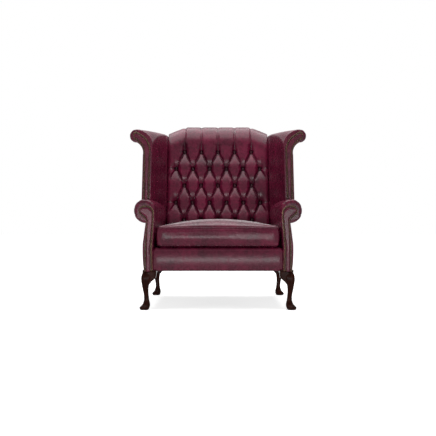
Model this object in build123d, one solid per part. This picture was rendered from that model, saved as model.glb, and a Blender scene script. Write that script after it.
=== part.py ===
from build123d import *
import math
import os

os.makedirs("parts", exist_ok=True)

# A high back wing chair, one and a half seats wide, with a deep buttoned back.
# Sizes are in millimetres. The chair faces -Y, stands on Z = 0 and is centred on X = 0 and Y = 0.
# Left is the -X side, as seen from in front. Pieces at the side are drawn at +X and mirrored.

# Overall sizes
chair_height = 1100.0
chair_depth = 850.0
leg_height = 216.0
overrun = 20.0
running_gap = 0.3

# Seat
seat_width_front = 688.0
seat_width_back = 656.0
seat_depth = 500.0
deck_height = 340.0
deck_thickness = 27.7
border_setback = 12.0
border_pad = 14.0
border_edge_radius = 18.0
border_lip = 54.0
border_drop = 3.0

# Timber frame
frame_depth = 657.0
rail_height = 90.0
rail_thickness = 28.0
rail_half_width = 404.0
post_thickness = 28.0
post_depth = 34.0
post_half_width = 392.0
post_top = 1000.0
board_thickness = 24.0
tack_rail_width = 20.0
tack_rail_height = 24.0
tack_rail_lift = 12.0
corner_block_size = 70.0
corner_block_height = 60.0
stuffing_rail_bottom = 380.0
stuffing_rail_height = 50.0
top_rail_height = 110.0

# Arms
arm_height = 606.0
arm_outer_front = 463.0
arm_outer_back = 440.0
arm_taper_share = 0.6
arm_roll_drop = 60.0
arm_foot_lean = 13.0
arm_lean_top = 500.0
arm_neck_x = 398.0
arm_neck_z = 474.0
arm_stem_x = 413.0
arm_stem_z = 362.0
arm_heel_x = 408.0
arm_stem_bulge = 3.0
arm_lining = 28.0
arm_board_width = 56.0
arm_board_thickness = 22.0
arm_board_lift = 16.0

# Leather faced panels and their close nailing
facing_thickness = 8.0
facing_drop = 6.0
rim_depth = 10.0
rim_inset_share = 0.7
rim_step_share = 0.3
rim_step_inset_share = 0.2
cover_thickness = 4.0
back_cover_thickness = 5.0
nail_radius = 5.0
nail_dome = 3.0
nail_brow_share = 0.45
nail_pitch = 11.0
nail_inset = 5.5
nail_shank_radius = 1.1
nail_shank_length = 15.0

# Wings
wing_setback = 200.0
wing_inner_front = 379.0
wing_foot_lean = 9.0
wing_outer_foot = 446.0
wing_scroll_x = 472.0
wing_scroll_top = 1020.0
wing_scroll_radius = 40.0
wing_scroll_turn = 93.0
wing_neck_x = 437.0
wing_neck_radius = 25.0
wing_back_x = 391.0
wing_back_top = 1040.0
wing_back_crest_x = 346.0
wing_back_turn = 24.0
wing_back_hem = 55.0
wing_back_round = 30.0
wing_back_neck = 80.0
wing_back_step = 1.0
wing_lining = 22.0
wing_rail_width = 26.0
wing_rail_height = 40.0
wing_stations = 6

# Back
crease_setback = 540.0
crest_thickness = 137.0
crest_flat_half = 210.0
crest_shoulder_drop = 46.0
crest_slope_power = 1.5
crest_front_round = 62.0
crest_rear_round = 36.0
crest_cover = 40.0
crest_stations = 5
webbing_width = 50.0
webbing_thickness = 1.5
webbing_height_shares = (0.27, 0.48, 0.69)

# Buttoning
button_pitch = 109.0
button_row_pitch = 114.0
button_top_z = 938.7
button_rows = (5, 6, 5, 6, 5)
button_radius = 9.5
button_dome = 5.0
button_rim_share = 0.2
button_flat_share = 0.25
button_shoulder_shares = (0.72, 0.86)
tuft_depth = 30.0
tuft_radius = 34.0
fold_depth = 17.0
fold_half_width = 42.0
fold_bulge_share = 0.085
pleat_depth = 9.0
pleat_half_width = 22.0
side_pleat_depth = 7.0
side_pleat_half_width = 14.0

# Seat cushion
cushion_arm_gap = 4.0
cushion_front_setback = 8.0
cushion_back_gap = 6.0
cushion_edge_height = 120.0
cushion_crown = 28.0
cushion_corner_radius = 14.0
cushion_side_bulge = 2.5
cushion_draw_in = 6.0
cushion_nose = 14.0
cushion_leather = 2.0
zip_length = 420.0
zip_height = 12.0
zip_proud = 0.8

# Springing
spring_count = 5
spring_spacing = 120.0
spring_wire_radius = 1.9
spring_half_width = 22.0
spring_turns = 15
spring_bend_radius = 8.0
clip_width = 20.0
clip_depth = 16.0
clip_lift = 1.0

# Legs
leg_foot_reach = 22.0
leg_width = 58.0
leg_corner_share = 0.3
leg_block_size = 70.0
leg_block_height = 16.0
leg_ear_depth = 26.0
leg_ear_share = 0.4
leg_bolt_radius = 4.0
leg_bolt_inset = 52.0
leg_bolt_rise = 40.0
dust_cover_thickness = 1.2

# Places that follow from the sizes
facing_y = -chair_depth / 2 + leg_foot_reach - facing_thickness
frame_y = facing_y + facing_thickness
rear_y = frame_y + frame_depth
rail_bottom = leg_height
rail_top = leg_height + rail_height
deck_bottom = deck_height - deck_thickness
inner_front = seat_width_front / 2
inner_back = seat_width_back / 2
crease_y = facing_y + crease_setback
wing_y = facing_y + wing_setback
wing_frame_y = wing_y + facing_thickness
border_y = facing_y + border_setback
front_rail_y = border_y + border_pad
arm_roll_z = arm_height - arm_roll_drop
arm_lining_x = inner_front + arm_lining
arm_board_bottom = arm_neck_z + arm_board_lift
arm_board_top = arm_board_bottom + arm_board_thickness
post_inner_x = post_half_width - post_thickness
frame_cover = back_cover_thickness + post_depth
crest_front_y = chair_depth / 2 - crest_thickness
lean_slope = (crest_front_y - border_y - seat_depth) / (chair_height - deck_height)
lean_angle = math.atan(lean_slope)
crest_rear_z = chair_height - crest_rear_round
rear_slope = (chair_depth / 2 - rear_y) / (crest_rear_z - rail_top)
quarter_share = 1 - math.sqrt(0.5)


def lean_y(z):
    """Depth of the front of the back pad at a height."""
    return border_y + seat_depth + lean_slope * (z - deck_height)


def back_y(z):
    """Depth of the outside back at a height: upright at the rail, then raked."""
    return rear_y + rear_slope * max(z - rail_top, 0)


def crest_z(x):
    """Height of the top of the back across its width: flat, then sloping to the wings."""
    run = min(max(abs(x) - crest_flat_half, 0) / (inner_back - crest_flat_half), 1)
    return chair_height - crest_shoulder_drop * run ** crest_slope_power


def mix(a, b, share):
    """The value that lies a share of the way from a to b."""
    return a + (b - a) * share


def block(x0, x1, y0, y1, z0, z1):
    """A square block between two corners."""
    middle = Pos((x0 + x1) / 2, (y0 + y1) / 2, (z0 + z1) / 2)
    return middle * Box(abs(x1 - x0), abs(y1 - y0), abs(z1 - z0))


def quarter(start, end, corner):
    """Middle point of the quarter turn from start to end whose tangents meet at corner."""
    return tuple(c + quarter_share * (a + b - 2 * c) for a, b, c in zip(start, end, corner))


def outline(segments, place):
    """A face from lines of two points and arcs of three, each point put in space by place."""
    edges = []
    for points in segments:
        spots = [place(p) for p in points]
        edges.append(Line(*spots) if len(spots) == 2 else ThreePointArc(*spots))
    return Face(Wire(edges))


def across_depth(segments, y):
    """A face in the upright plane that faces the sitter's front, at depth y."""
    return outline(segments, lambda p: (p[0], y, p[1]))


def across_width(segments, x):
    """A face in the upright plane that faces sideways, at width x."""
    return outline(segments, lambda p: (x, p[0], p[1]))


def polygon(points):
    """The straight segments that join the points and close on the first."""
    return [[points[i - 1], points[i]] for i in range(len(points))]


def plate(segments, y0, y1):
    """A board of the given front outline between two depths."""
    return extrude(across_depth(segments, y0), amount=y1 - y0, dir=(0, 1, 0))


def bar(segments, x0, x1):
    """A rail of the given side outline between two widths."""
    return extrude(across_width(segments, x0), amount=x1 - x0, dir=(1, 0, 0))


def raked_slab(x0, x1, z0, z1, near, far):
    """A slab that follows the outside back, from near to far in front of it."""
    heights = [z0, rail_top, z1] if z0 < rail_top < z1 else [z0, z1]
    rear = [(back_y(z) - near, z) for z in heights]
    front = [(back_y(z) - far, z) for z in reversed(heights)]
    return bar(polygon(rear + front), x0, x1)


def both_sides(name, piece):
    """Write a piece drawn at +X, and its mirror image."""
    save("right_" + name, piece)
    save("left_" + name, mirror(piece, about=Plane.YZ))


def save(name, piece):
    """Write one node."""
    export_step(piece, f"parts/{name}.step")


# The room from the outside back's lining rearwards, which trims what ends there
behind_back = raked_slab(
    -chair_height, chair_height, -overrun, chair_height + overrun, back_cover_thickness, -chair_depth
)


# Arms

def arm_section(y, inner_x, outer_x, inset=0):
    """The upright outline of an arm: lining, roll, neck under the roll, and stem."""
    inner = inner_x + inset
    outer = outer_x - inset
    top_z = arm_height - inset
    foot = (inner + arm_foot_lean, rail_bottom)
    hip = (inner + arm_foot_lean, deck_height)
    lean = (inner, arm_lean_top)
    side = (inner, arm_roll_z)
    top = ((inner_x + outer_x) / 2, top_z)
    out = (outer, arm_roll_z)
    neck = (arm_neck_x - inset, arm_neck_z + inset)
    stem = (arm_stem_x - inset, arm_stem_z)
    belly = ((arm_stem_x + arm_heel_x) / 2 + arm_stem_bulge - inset, (arm_stem_z + rail_bottom) / 2)
    heel = (arm_heel_x - inset, rail_bottom)
    return across_depth(
        [
            [foot, hip],
            [hip, lean],
            [lean, side],
            [side, quarter(side, top, (inner, top_z)), top],
            [top, quarter(top, out, (outer, top_z)), out],
            [out, quarter(out, neck, (outer, neck[1])), neck],
            [neck, stem],
            [stem, belly, heel],
            [heel, foot],
        ],
        y,
    )


def arm_solid():
    """The whole space that an arm fills, with its rounded front rim."""
    back_end_y = chair_depth / 2 + overrun
    step_y = frame_y + rim_depth * rim_step_share
    sections = [
        arm_section(frame_y, inner_front, arm_outer_front, rim_depth * rim_inset_share),
        arm_section(step_y, inner_front, arm_outer_front, rim_depth * rim_step_inset_share),
        arm_section(frame_y + rim_depth, inner_front, arm_outer_front),
        arm_section(crease_y, inner_back, mix(arm_outer_front, arm_outer_back, arm_taper_share)),
        arm_section(back_end_y, inner_back, arm_outer_back),
    ]
    return loft(sections, ruled=True) - behind_back


def arm_facing_segments():
    """The facing on the front of an arm, as shares of the arm's width and height."""
    width = arm_outer_front - inner_front
    height = arm_height - rail_bottom
    bottom = rail_bottom - facing_drop
    facing_shares = [
        [(0.160, 0.331), (0.113, 0.536), (0.067, 0.728)],
        [(0.067, 0.728), (0.067, 0.792)],
        [(0.067, 0.792), (0.160, 0.882), (0.437, 0.910)],
        [(0.437, 0.910), (0.672, 0.890), (0.756, 0.838)],
        [(0.756, 0.838), (0.731, 0.797), (0.639, 0.767)],
        [(0.639, 0.767), (0.487, 0.726)],
        [(0.487, 0.726), (0.420, 0.692), (0.403, 0.646)],
        [(0.403, 0.646), (0.454, 0.472), (0.487, 0.292)],
    ]
    inner_foot_share = 0.126
    outer_foot_share = 0.513
    segments = [
        [(inner_front + u * width, rail_bottom + v * height) for u, v in points]
        for points in facing_shares
    ]
    inner_foot = (inner_front + inner_foot_share * width, bottom)
    outer_foot = (inner_front + outer_foot_share * width, bottom)
    return (
        [[inner_foot, segments[0][0]]]
        + segments
        + [[segments[-1][-1], outer_foot], [outer_foot, inner_foot]]
    )


def wing_facing_segments():
    """The facing on the front of a wing: a band that curls over into the scroll."""
    width = wing_scroll_x + wing_scroll_radius - wing_inner_front
    height = wing_scroll_top - arm_roll_z
    shares = [
        [(0.150, 0.0), (0.094, 0.705)],
        [(0.094, 0.705), (0.170, 0.838), (0.361, 0.905)],
        [(0.361, 0.905), (0.620, 0.952)],
        [(0.620, 0.952), (0.800, 0.955), (0.835, 0.903)],
        [(0.835, 0.903), (0.795, 0.872), (0.692, 0.854)],
        [(0.692, 0.854), (0.500, 0.805)],
        [(0.500, 0.805), (0.415, 0.760), (0.383, 0.700)],
        [(0.383, 0.700), (0.428, 0.0)],
        [(0.428, 0.0), (0.150, 0.0)],
    ]
    return [
        [(wing_inner_front + u * width, arm_roll_z + v * height) for u, v in points]
        for points in shares
    ]


def nail_spots(segments, lowest=0):
    """Evenly spaced places along a facing's edge, just inside it."""
    face = across_depth(segments, 0)
    edge = face.outer_wire()
    count = round(edge.length / nail_pitch)
    spots = []
    for i in range(count):
        share = (2 * i + 1) / (2 * count)
        inward = edge.tangent_at(share).cross(Vector(0, 1, 0)) * nail_inset
        spot = edge.position_at(share) + inward
        if not face.is_inside(spot):
            spot = edge.position_at(share) - inward
        if spot.Z > lowest:
            spots.append((spot.X, spot.Z))
    return spots


def nails(spots, y):
    """Domed nails at the spots, their heads on the plane at depth y."""
    head = [
        [(0, -nail_dome), (nail_radius * math.sqrt(0.5), -nail_dome * nail_brow_share), (nail_radius, 0)],
        [(nail_radius, 0), (nail_shank_radius, 0)],
        [(nail_shank_radius, 0), (nail_shank_radius, nail_shank_length)],
        [(nail_shank_radius, nail_shank_length), (0, nail_shank_length)],
        [(0, nail_shank_length), (0, -nail_dome)],
    ]
    nail = revolve(outline(head, lambda p: (p[0], p[1], 0)), Axis.Y)
    return Compound(children=[Pos(x, y, z) * nail for x, z in spots])


def nail_holes(spots, y):
    """The holes that the nail shanks fill behind the plane at depth y."""
    hole = Rot(-90, 0, 0) * Cylinder(
        nail_shank_radius, nail_shank_length, align=(Align.CENTER, Align.CENTER, Align.MIN)
    )
    return [Pos(x, y, z) * hole for x, z in spots]


# Wings

def wing_shape(y, inset=0):
    """Named points of a wing's upright outline at depth y. The scroll fades to the back."""
    reach = min(max((crease_y - y) / (crease_y - wing_frame_y - rim_depth), 0), 1)
    flare = reach ** 2
    inner = mix(inner_back, wing_inner_front, reach) + inset
    crest_top = mix(wing_back_top, wing_scroll_top, flare) - inset
    crest_x = mix(wing_back_crest_x, wing_scroll_x, flare)
    tip_x = mix(wing_back_x + 3 * wing_back_step, wing_scroll_x + wing_scroll_radius, flare) - inset
    tip_z = mix(wing_back_top - wing_back_round, wing_scroll_top - wing_scroll_radius, flare)
    under_x = mix(wing_back_x + 2 * wing_back_step, wing_scroll_x, flare)
    under_z = mix(wing_back_top - wing_back_hem, wing_scroll_top - 2 * wing_scroll_radius, flare) + inset
    bend_x = mix(wing_back_x + wing_back_step, wing_neck_x + wing_neck_radius, flare)
    bend_z = mix(wing_back_top - wing_back_hem - rim_depth, under_z - inset, flare) + inset
    neck_x = mix(wing_back_x, wing_neck_x, reach) - inset
    neck_z = mix(
        wing_back_top - wing_back_neck,
        wing_scroll_top - 2 * wing_scroll_radius - wing_neck_radius,
        flare,
    )
    return {
        "foot_in": (inner + wing_foot_lean * reach, arm_roll_z),
        "turn": (inner, mix(wing_back_top - wing_back_turn, wing_scroll_top - wing_scroll_turn, flare)),
        "crest": (crest_x, crest_top),
        "tip": (tip_x, tip_z),
        "under": (under_x, under_z),
        "bend": (max(bend_x, neck_x + wing_back_step / 2), bend_z),
        "neck": (neck_x, neck_z),
        "foot_out": (mix(wing_back_x, wing_outer_foot, reach) - inset, arm_roll_z),
    }


def wing_section(y, inset=0):
    """The upright outline of a wing at depth y."""
    p = wing_shape(y, inset)
    return across_depth(
        [
            [p["foot_in"], p["turn"]],
            [p["turn"], quarter(p["turn"], p["crest"], (p["turn"][0], p["crest"][1])), p["crest"]],
            [p["crest"], quarter(p["crest"], p["tip"], (p["tip"][0], p["crest"][1])), p["tip"]],
            [p["tip"], quarter(p["tip"], p["under"], (p["tip"][0], p["under"][1])), p["under"]],
            [p["under"], p["bend"]],
            [p["bend"], quarter(p["bend"], p["neck"], (p["neck"][0], p["bend"][1])), p["neck"]],
            [p["neck"], p["foot_out"]],
            [p["foot_out"], p["foot_in"]],
        ],
        y,
    )


def wing_depths(start_y):
    """Depths of the sections from start_y to the crease, and one past the back."""
    run = crease_y - start_y
    depths = [start_y + run * i / (wing_stations - 1) for i in range(wing_stations)]
    return depths + [chair_depth / 2 + overrun]


def wing_solid():
    """The whole space that a wing fills, with its rounded front rim."""
    sections = [
        wing_section(wing_frame_y, rim_depth * rim_inset_share),
        wing_section(wing_frame_y + rim_depth * rim_step_share, rim_depth * rim_step_inset_share),
    ]
    sections += [wing_section(y) for y in wing_depths(wing_frame_y + rim_depth)]
    return loft(sections, ruled=True) - behind_back


def wing_layer(near):
    """The part of a wing between its lining and near inside its outer face, below the scroll."""
    faces = []
    for y in wing_depths(wing_frame_y + board_thickness):
        p = wing_shape(y)
        lining_x = p["turn"][0] + wing_lining
        corners = [
            (p["foot_out"][0] - near, arm_roll_z),
            (p["neck"][0] - near, p["neck"][1]),
            (lining_x, p["neck"][1]),
            (lining_x, arm_roll_z),
        ]
        faces.append(across_depth(polygon(corners), y))
    return loft(faces, ruled=True)


def wing_rail():
    """The rail from the wing board to the back post, under the wing's top."""
    faces = []
    end_z = wing_back_top - wing_back_neck - wing_rail_height
    for y in (wing_frame_y + board_thickness, back_y(end_z) - frame_cover):
        p = wing_shape(y)
        centre_x = (p["turn"][0] + p["neck"][0] + wing_lining) / 2
        top_z = p["neck"][1]
        x0, x1 = centre_x - wing_rail_width / 2, centre_x + wing_rail_width / 2
        corners = [(x0, top_z - wing_rail_height), (x0, top_z), (x1, top_z), (x1, top_z - wing_rail_height)]
        faces.append(across_depth(polygon(corners), y))
    return loft(faces, ruled=True)


# Back

def back_profile(x):
    """The side outline of the back pad at width x, rolled over the top rail."""
    top = crest_z(x)
    seat = (lean_y(deck_bottom), deck_bottom)
    breast = (lean_y(top - crest_front_round), top - crest_front_round)
    crest = (lean_y(top) + crest_front_round / math.cos(lean_angle), top)
    nape = (back_y(top - crest_rear_round), top - crest_rear_round)
    brink = (nape[0] - crest_rear_round, top)
    hem = (back_y(top - crest_cover), top - crest_cover)
    pad_back = frame_cover + 2 * webbing_thickness
    ledge = (hem[0] - pad_back, hem[1])
    tail = (back_y(deck_bottom) - pad_back, deck_bottom)
    return across_width(
        [
            [seat, breast],
            [breast, quarter(breast, crest, (lean_y(top), top)), crest],
            [crest, brink],
            [brink, quarter(brink, nape, (nape[0], top)), nape],
            [nape, hem],
            [hem, ledge],
            [ledge, tail],
            [tail, seat],
        ],
        x,
    )


def crest_widths(half):
    """Widths from one side to the other, closer together on the sloping shoulders."""
    slope = half - crest_flat_half
    right = [crest_flat_half + slope * i / (crest_stations - 1) for i in range(crest_stations)]
    return [-x for x in reversed(right)] + right


def back_slab():
    """The back pad before it is buttoned."""
    half = inner_back - running_gap
    return loft([back_profile(x) for x in crest_widths(half)], ruled=True)


def tuft_plane():
    """The leaning front of the back pad, with its origin level with the top row of buttons."""
    return Plane(
        origin=(0, lean_y(button_top_z), button_top_z),
        x_dir=(1, 0, 0),
        z_dir=(0, -math.cos(lean_angle), math.sin(lean_angle)),
    )


def button_spots():
    """Places of the buttons on the leaning plane, row by row."""
    return [
        [((i - (count - 1) / 2) * button_pitch, -row * button_row_pitch) for i in range(count)]
        for row, count in enumerate(button_rows)
    ]


def fold(start, end, half_width, depth):
    """The valley between two pillows from start to end, as a tool that cuts it."""
    length = math.dist(start, end)
    turn = math.degrees(math.atan2(end[1] - start[1], end[0] - start[0]))
    left, bottom, right = (-half_width, 0), (0, -depth), (half_width, 0)
    rise = fold_bulge_share * math.dist(left, bottom)
    tilt = math.atan2(depth, half_width)
    lift = (rise * math.sin(tilt), rise * math.cos(tilt))
    middle = (-half_width / 2 + lift[0], -depth / 2 + lift[1])
    section = outline(
        [
            [left, middle, bottom],
            [bottom, (-middle[0], middle[1]), right],
            [right, (half_width, overrun)],
            [(half_width, overrun), (-half_width, overrun)],
            [(-half_width, overrun), left],
        ],
        lambda p: (0, p[0], p[1]),
    )
    valley = extrude(section, amount=length, dir=(1, 0, 0))
    return Pos(start[0], start[1], 0) * Rot(0, 0, turn) * valley


def dimple():
    """The hollow round a button, as a tool that cuts it."""
    floor_radius = button_radius + running_gap
    rim, floor = (tuft_radius, 0), (floor_radius, -tuft_depth)
    rise = fold_bulge_share * math.dist(rim, floor)
    tilt = math.atan2(tuft_depth, tuft_radius - floor_radius)
    middle = (
        (rim[0] + floor[0]) / 2 - rise * math.sin(tilt),
        (rim[1] + floor[1]) / 2 + rise * math.cos(tilt),
    )
    section = outline(
        [
            [(0, overrun), (tuft_radius, overrun)],
            [(tuft_radius, overrun), rim],
            [rim, middle, floor],
            [floor, (0, -tuft_depth)],
            [(0, -tuft_depth), (0, overrun)],
        ],
        lambda p: (p[0], 0, p[1]),
    )
    return revolve(section, Axis.Z)


def diagonal_folds(rows):
    """Valleys along every diagonal line of buttons, leaning one way and then the other."""
    tools = []
    for side in (1, -1):
        used = set()
        for row in range(len(rows) - 1):
            for spot in rows[row]:
                if (row, spot) in used:
                    continue
                end, last = spot, row
                for below in range(row + 1, len(rows)):
                    step = (end[0] + side * button_pitch / 2, -below * button_row_pitch)
                    near = [s for s in rows[below] if math.dist(s, step) < button_radius]
                    if not near:
                        break
                    end, last = near[0], below
                    used.add((below, end))
                if last > row:
                    tools.append(fold(spot, end, fold_half_width, fold_depth))
    return tools


def edge_pleats(rows):
    """Pleats from the top row over the crest, from the last row down, and out to the sides."""
    tools = []
    crest_run = chair_height - button_top_z + 2 * overrun
    seat_run = button_top_z - deck_bottom + 2 * overrun
    for spot in rows[0]:
        tools.append(fold(spot, (spot[0], crest_run), pleat_half_width, pleat_depth))
    for spot in rows[-1]:
        tools.append(fold(spot, (spot[0], -seat_run), pleat_half_width, pleat_depth))
    for row in rows[1::2]:
        for spot in (row[0], row[-1]):
            reach = math.copysign(inner_back, spot[0])
            tools.append(fold(spot, (reach, spot[1]), side_pleat_half_width, side_pleat_depth))
    return tools


def buttoned_back():
    """The back pad with its pillows, pleats and button hollows."""
    rows = button_spots()
    tools = diagonal_folds(rows) + edge_pleats(rows)
    hollow = dimple()
    tools += [Pos(x, y, 0) * hollow for row in rows for x, y in row]
    place = tuft_plane().location
    return back_slab() - [place * tool for tool in tools]


def back_buttons():
    """One domed button on the floor of each hollow."""
    rim_height = button_dome * button_rim_share
    flat = button_radius * button_flat_share
    shoulder = (button_radius * button_shoulder_shares[0], button_dome * button_shoulder_shares[1])
    dome = [
        [(0, 0), (button_radius, 0)],
        [(button_radius, 0), (button_radius, rim_height)],
        [(button_radius, rim_height), shoulder, (flat, button_dome)],
        [(flat, button_dome), (0, button_dome)],
        [(0, button_dome), (0, 0)],
    ]
    button = revolve(outline(dome, lambda p: (p[0], 0, p[1])), Axis.Z)
    place = tuft_plane().location
    spots = [spot for row in button_spots() for spot in row]
    return Compound(children=[place * Pos(x, y, -tuft_depth) * button for x, y in spots])


def crest_plate(drop):
    """A board behind the back pad, under the crest line lowered by drop."""
    half = arm_heel_x
    top_half = wing_back_x
    widths = crest_widths(inner_back)
    top = [(x, crest_z(x) - drop - running_gap) for x in widths]
    shoulder_z = wing_back_top - crest_cover
    edge = [(top_half, shoulder_z), (top_half, arm_height), (half, arm_neck_z), (half, rail_bottom)]
    mirrored = [(-x, z) for x, z in reversed(edge)]
    points = top + edge + mirrored
    return plate(polygon(points), rear_y - chair_depth / 2, chair_depth)


# Seat cushion

def cushion_section(y, half, inset, crown, shrink):
    """The upright outline of the cushion at depth y: flat bed, bulged sides, crowned top."""
    half = half - inset - shrink
    bottom = deck_height + running_gap + inset / 2 + shrink
    edge = deck_height + running_gap + cushion_edge_height - inset / 2 - shrink
    top = edge + crown
    r = cushion_corner_radius
    waist = (half + cushion_side_bulge, (bottom + edge) / 2)
    bed = [(half - r, bottom), (half, bottom + r)]
    brow = [(half, edge - r), (half - r, edge)]
    flip = [(-x, z) for x, z in (bed[0], bed[1], waist, brow[0], brow[1])]
    return across_depth(
        [
            [flip[0], bed[0]],
            [bed[0], quarter(bed[0], bed[1], (half, bottom)), bed[1]],
            [bed[1], waist, brow[0]],
            [brow[0], quarter(brow[0], brow[1], (half, edge)), brow[1]],
            [brow[1], (0, top), flip[4]],
            [flip[4], quarter(flip[4], flip[3], (-half, edge)), flip[3]],
            [flip[3], flip[2], flip[1]],
            [flip[1], quarter(flip[1], flip[0], (-half, bottom)), flip[0]],
        ],
        y,
    )


def cushion_solid(shrink=0):
    """The cushion's outer form, or the form that lies shrink inside it."""
    front = facing_y + cushion_front_setback + shrink
    back = lean_y(deck_height) - cushion_back_gap - shrink
    half_front = inner_front - cushion_arm_gap
    half_back = inner_back - cushion_arm_gap
    depth_shares = (0.0, 0.012, 0.05, 0.2, 0.5, 0.8, 0.96, 0.99, 1.0)
    inset_shares = (1.0, 0.35, 0.0, 0.0, 0.0, 0.0, 0.0, 0.2, 0.6)
    crown_shares = (0.10, 0.22, 0.40, 0.80, 1.0, 0.75, 0.30, 0.15, 0.10)
    draw_shares = (0.0, 0.0, 0.0, 0.7, 1.0, 0.7, 0.0, 0.0, 0.0)
    sections = []
    for d, i, c, w in zip(depth_shares, inset_shares, crown_shares, draw_shares):
        half = mix(half_front, half_back, d) - cushion_draw_in * w
        y = mix(front, back, d)
        sections.append(cushion_section(y, half, cushion_nose * i, cushion_crown * c, shrink))
    return loft(sections, ruled=True)


def cushion_zip():
    """The zip along the middle of the cushion's rear face."""
    back = lean_y(deck_height) - cushion_back_gap
    middle = deck_height + cushion_edge_height / 2
    return block(
        -zip_length / 2, zip_length / 2, back - cushion_leather, back + zip_proud,
        middle - zip_height / 2, middle + zip_height / 2,
    )


# Springing

def spring(x):
    """One zigzag seat spring, lying on the front and rear rails."""
    z = rail_top + clip_lift + spring_wire_radius
    start = front_rail_y + rail_thickness / 2
    end = rear_y - back_cover_thickness - rail_thickness / 2
    step = (end - start) / spring_turns
    points = [(x, start, z)]
    for i in range(spring_turns):
        across = x + spring_half_width * (1 if i % 2 else -1)
        points += [(across, start + step * i, z), (across, start + step * (i + 1), z)]
    points.append((x, end, z))
    path = FilletPolyline(*points, radius=spring_bend_radius)
    ring = Plane(origin=path @ 0, z_dir=path % 0) * Circle(spring_wire_radius)
    return sweep(ring, path=path)


def spring_rows():
    """Widths at which the springs run."""
    return [(i - (spring_count - 1) / 2) * spring_spacing for i in range(spring_count)]


def spring_clips(springs):
    """The clips that hold both ends of each spring on the rails."""
    z1 = rail_top + 2 * (clip_lift + spring_wire_radius)
    ends = (front_rail_y + rail_thickness / 2, rear_y - back_cover_thickness - rail_thickness / 2)
    clips = []
    for x in spring_rows():
        for y in ends:
            clip = block(
                x - clip_width / 2, x + clip_width / 2, y - clip_depth / 2, y + clip_depth / 2, rail_top, z1
            )
            clips.append(clip - springs)
    return clips


# Legs

def leg_square(z, inner, outer, front_y, turn_back):
    """A rounded square section of a leg at height z, from inner to outer about the corner line."""
    side = inner + outer
    centre = (outer - inner) / 2
    x = arm_heel_x + centre
    y = front_y + centre if turn_back else front_y - centre
    return Pos(x, y, z) * RectangleRounded(side, side, side * leg_corner_share)


def leg(front_y, turn_back):
    """A cabriole leg with its two knee brackets. Its toe points out at the corner."""
    height_shares = (0, 0.025, 0.06, 0.09, 0.13, 0.19, 0.25, 0.35, 0.44, 0.53, 0.64, 0.73, 0.82, 0.91, 1.0)
    inner_shares = (0.47, 0.53, 0.585, 0.60, 0.62, 0.57, 0.52, 0.48, 0.465, 0.47, 0.53, 0.65, 0.72, 0.76, 0.79)
    outer_shares = (0.29, 0.35, 0.38, 0.27, 0.12, 0.02, -0.03, -0.02, 0.03, 0.10, 0.17, 0.22, 0.22, 0.14, 0.0)
    sections = [
        leg_square(leg_height * h, leg_width * i, leg_width * o, front_y, turn_back)
        for h, i, o in zip(height_shares, inner_shares, outer_shares)
    ]
    body = loft(sections, ruled=True)
    away = -1 if turn_back else 1
    ear_run_shares = (0.33, 0.48, 0.62, 0.85, 0.97, 1.0)
    ear_drop_shares = (1.0, 0.86, 0.73, 0.57, 0.46, 0.30)
    ear_proud_shares = (0.38, 0.40, 0.36, 0.22, 0.10, 0.0)
    ear_drop = leg_height * leg_ear_share
    ears = []
    for swap in (False, True):
        faces = []
        for run, drop, proud in zip(ear_run_shares, ear_drop_shares, ear_proud_shares):
            along = leg_block_size * run
            out = leg_foot_reach * proud
            low = leg_height - ear_drop * drop
            corners = [(-out, low), (leg_ear_depth, low), (leg_ear_depth, leg_height), (-out, leg_height)]
            if swap:
                face = outline(
                    polygon(corners), lambda p: (arm_heel_x - p[0], front_y + away * along, p[1])
                )
            else:
                face = outline(
                    polygon(corners), lambda p: (arm_heel_x - along, front_y + away * p[0], p[1])
                )
            faces.append(face)
        ears.append(loft(faces, ruled=True))
    y0, y1 = sorted((front_y, front_y + away * leg_block_size))
    cap = block(arm_heel_x - leg_block_size, arm_heel_x, y0, y1, leg_height - leg_block_height, leg_height)
    rebate = block(
        0, chair_height, front_y - away * 2 * overrun, front_y, leg_height - facing_drop, leg_height + overrun
    )
    return body + ears + cap - rebate - leg_bolt(front_y, away)


def leg_bolt(front_y, away):
    """The bolt from a leg up into its corner block."""
    x = arm_heel_x - leg_bolt_inset
    y = front_y + away * leg_bolt_inset
    length = leg_block_height + leg_bolt_rise
    return Pos(x, y, leg_height - leg_block_height + length / 2) * Cylinder(leg_bolt_radius, length)


def corner_block(y, away):
    """A triangular block in the corner between a side rail and the rail across."""
    x = rail_half_width - rail_thickness
    points = [(x, y), (x - corner_block_size, y), (x, y + away * corner_block_size)]
    face = outline(polygon(points), lambda p: (p[0], p[1], rail_bottom))
    return extrude(face, amount=corner_block_height, dir=(0, 0, 1))


# Build the timber frame
arm_space = arm_solid()
wing_space = wing_solid() - arm_space
arm_face = arm_facing_segments()
wing_face = wing_facing_segments()
arm_nail_spots = nail_spots(arm_face)
wing_nail_spots = nail_spots(wing_face, arm_height + nail_radius)
post_front_y = back_y(rail_bottom) - frame_cover

below_rails = block(
    0, chair_height, -chair_depth, chair_depth, rail_bottom - 2 * facing_drop, rail_bottom
)
arm_post_space = plate(arm_face, frame_y, frame_y + board_thickness) - below_rails
wing_post = plate(wing_face, wing_frame_y, wing_frame_y + board_thickness)
wing_foot = wing_shape(wing_frame_y + board_thickness)
wing_post += block(
    wing_foot["foot_in"][0] + rim_depth, arm_lining_x + arm_board_width - rim_depth,
    wing_frame_y, wing_frame_y + board_thickness, arm_board_top, arm_height,
)
back_post = raked_slab(
    post_inner_x, post_half_width, rail_bottom, post_top, back_cover_thickness, frame_cover
)
arm_board = block(
    arm_lining_x, arm_lining_x + arm_board_width, frame_y + board_thickness,
    back_y(arm_board_bottom) - 2 * back_cover_thickness, arm_board_bottom, arm_board_top,
) - back_post
wing_post_space = wing_post - arm_board
arm_post = arm_post_space - nail_holes(arm_nail_spots, facing_y)
wing_post = wing_post_space - nail_holes(wing_nail_spots, wing_y)
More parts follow.
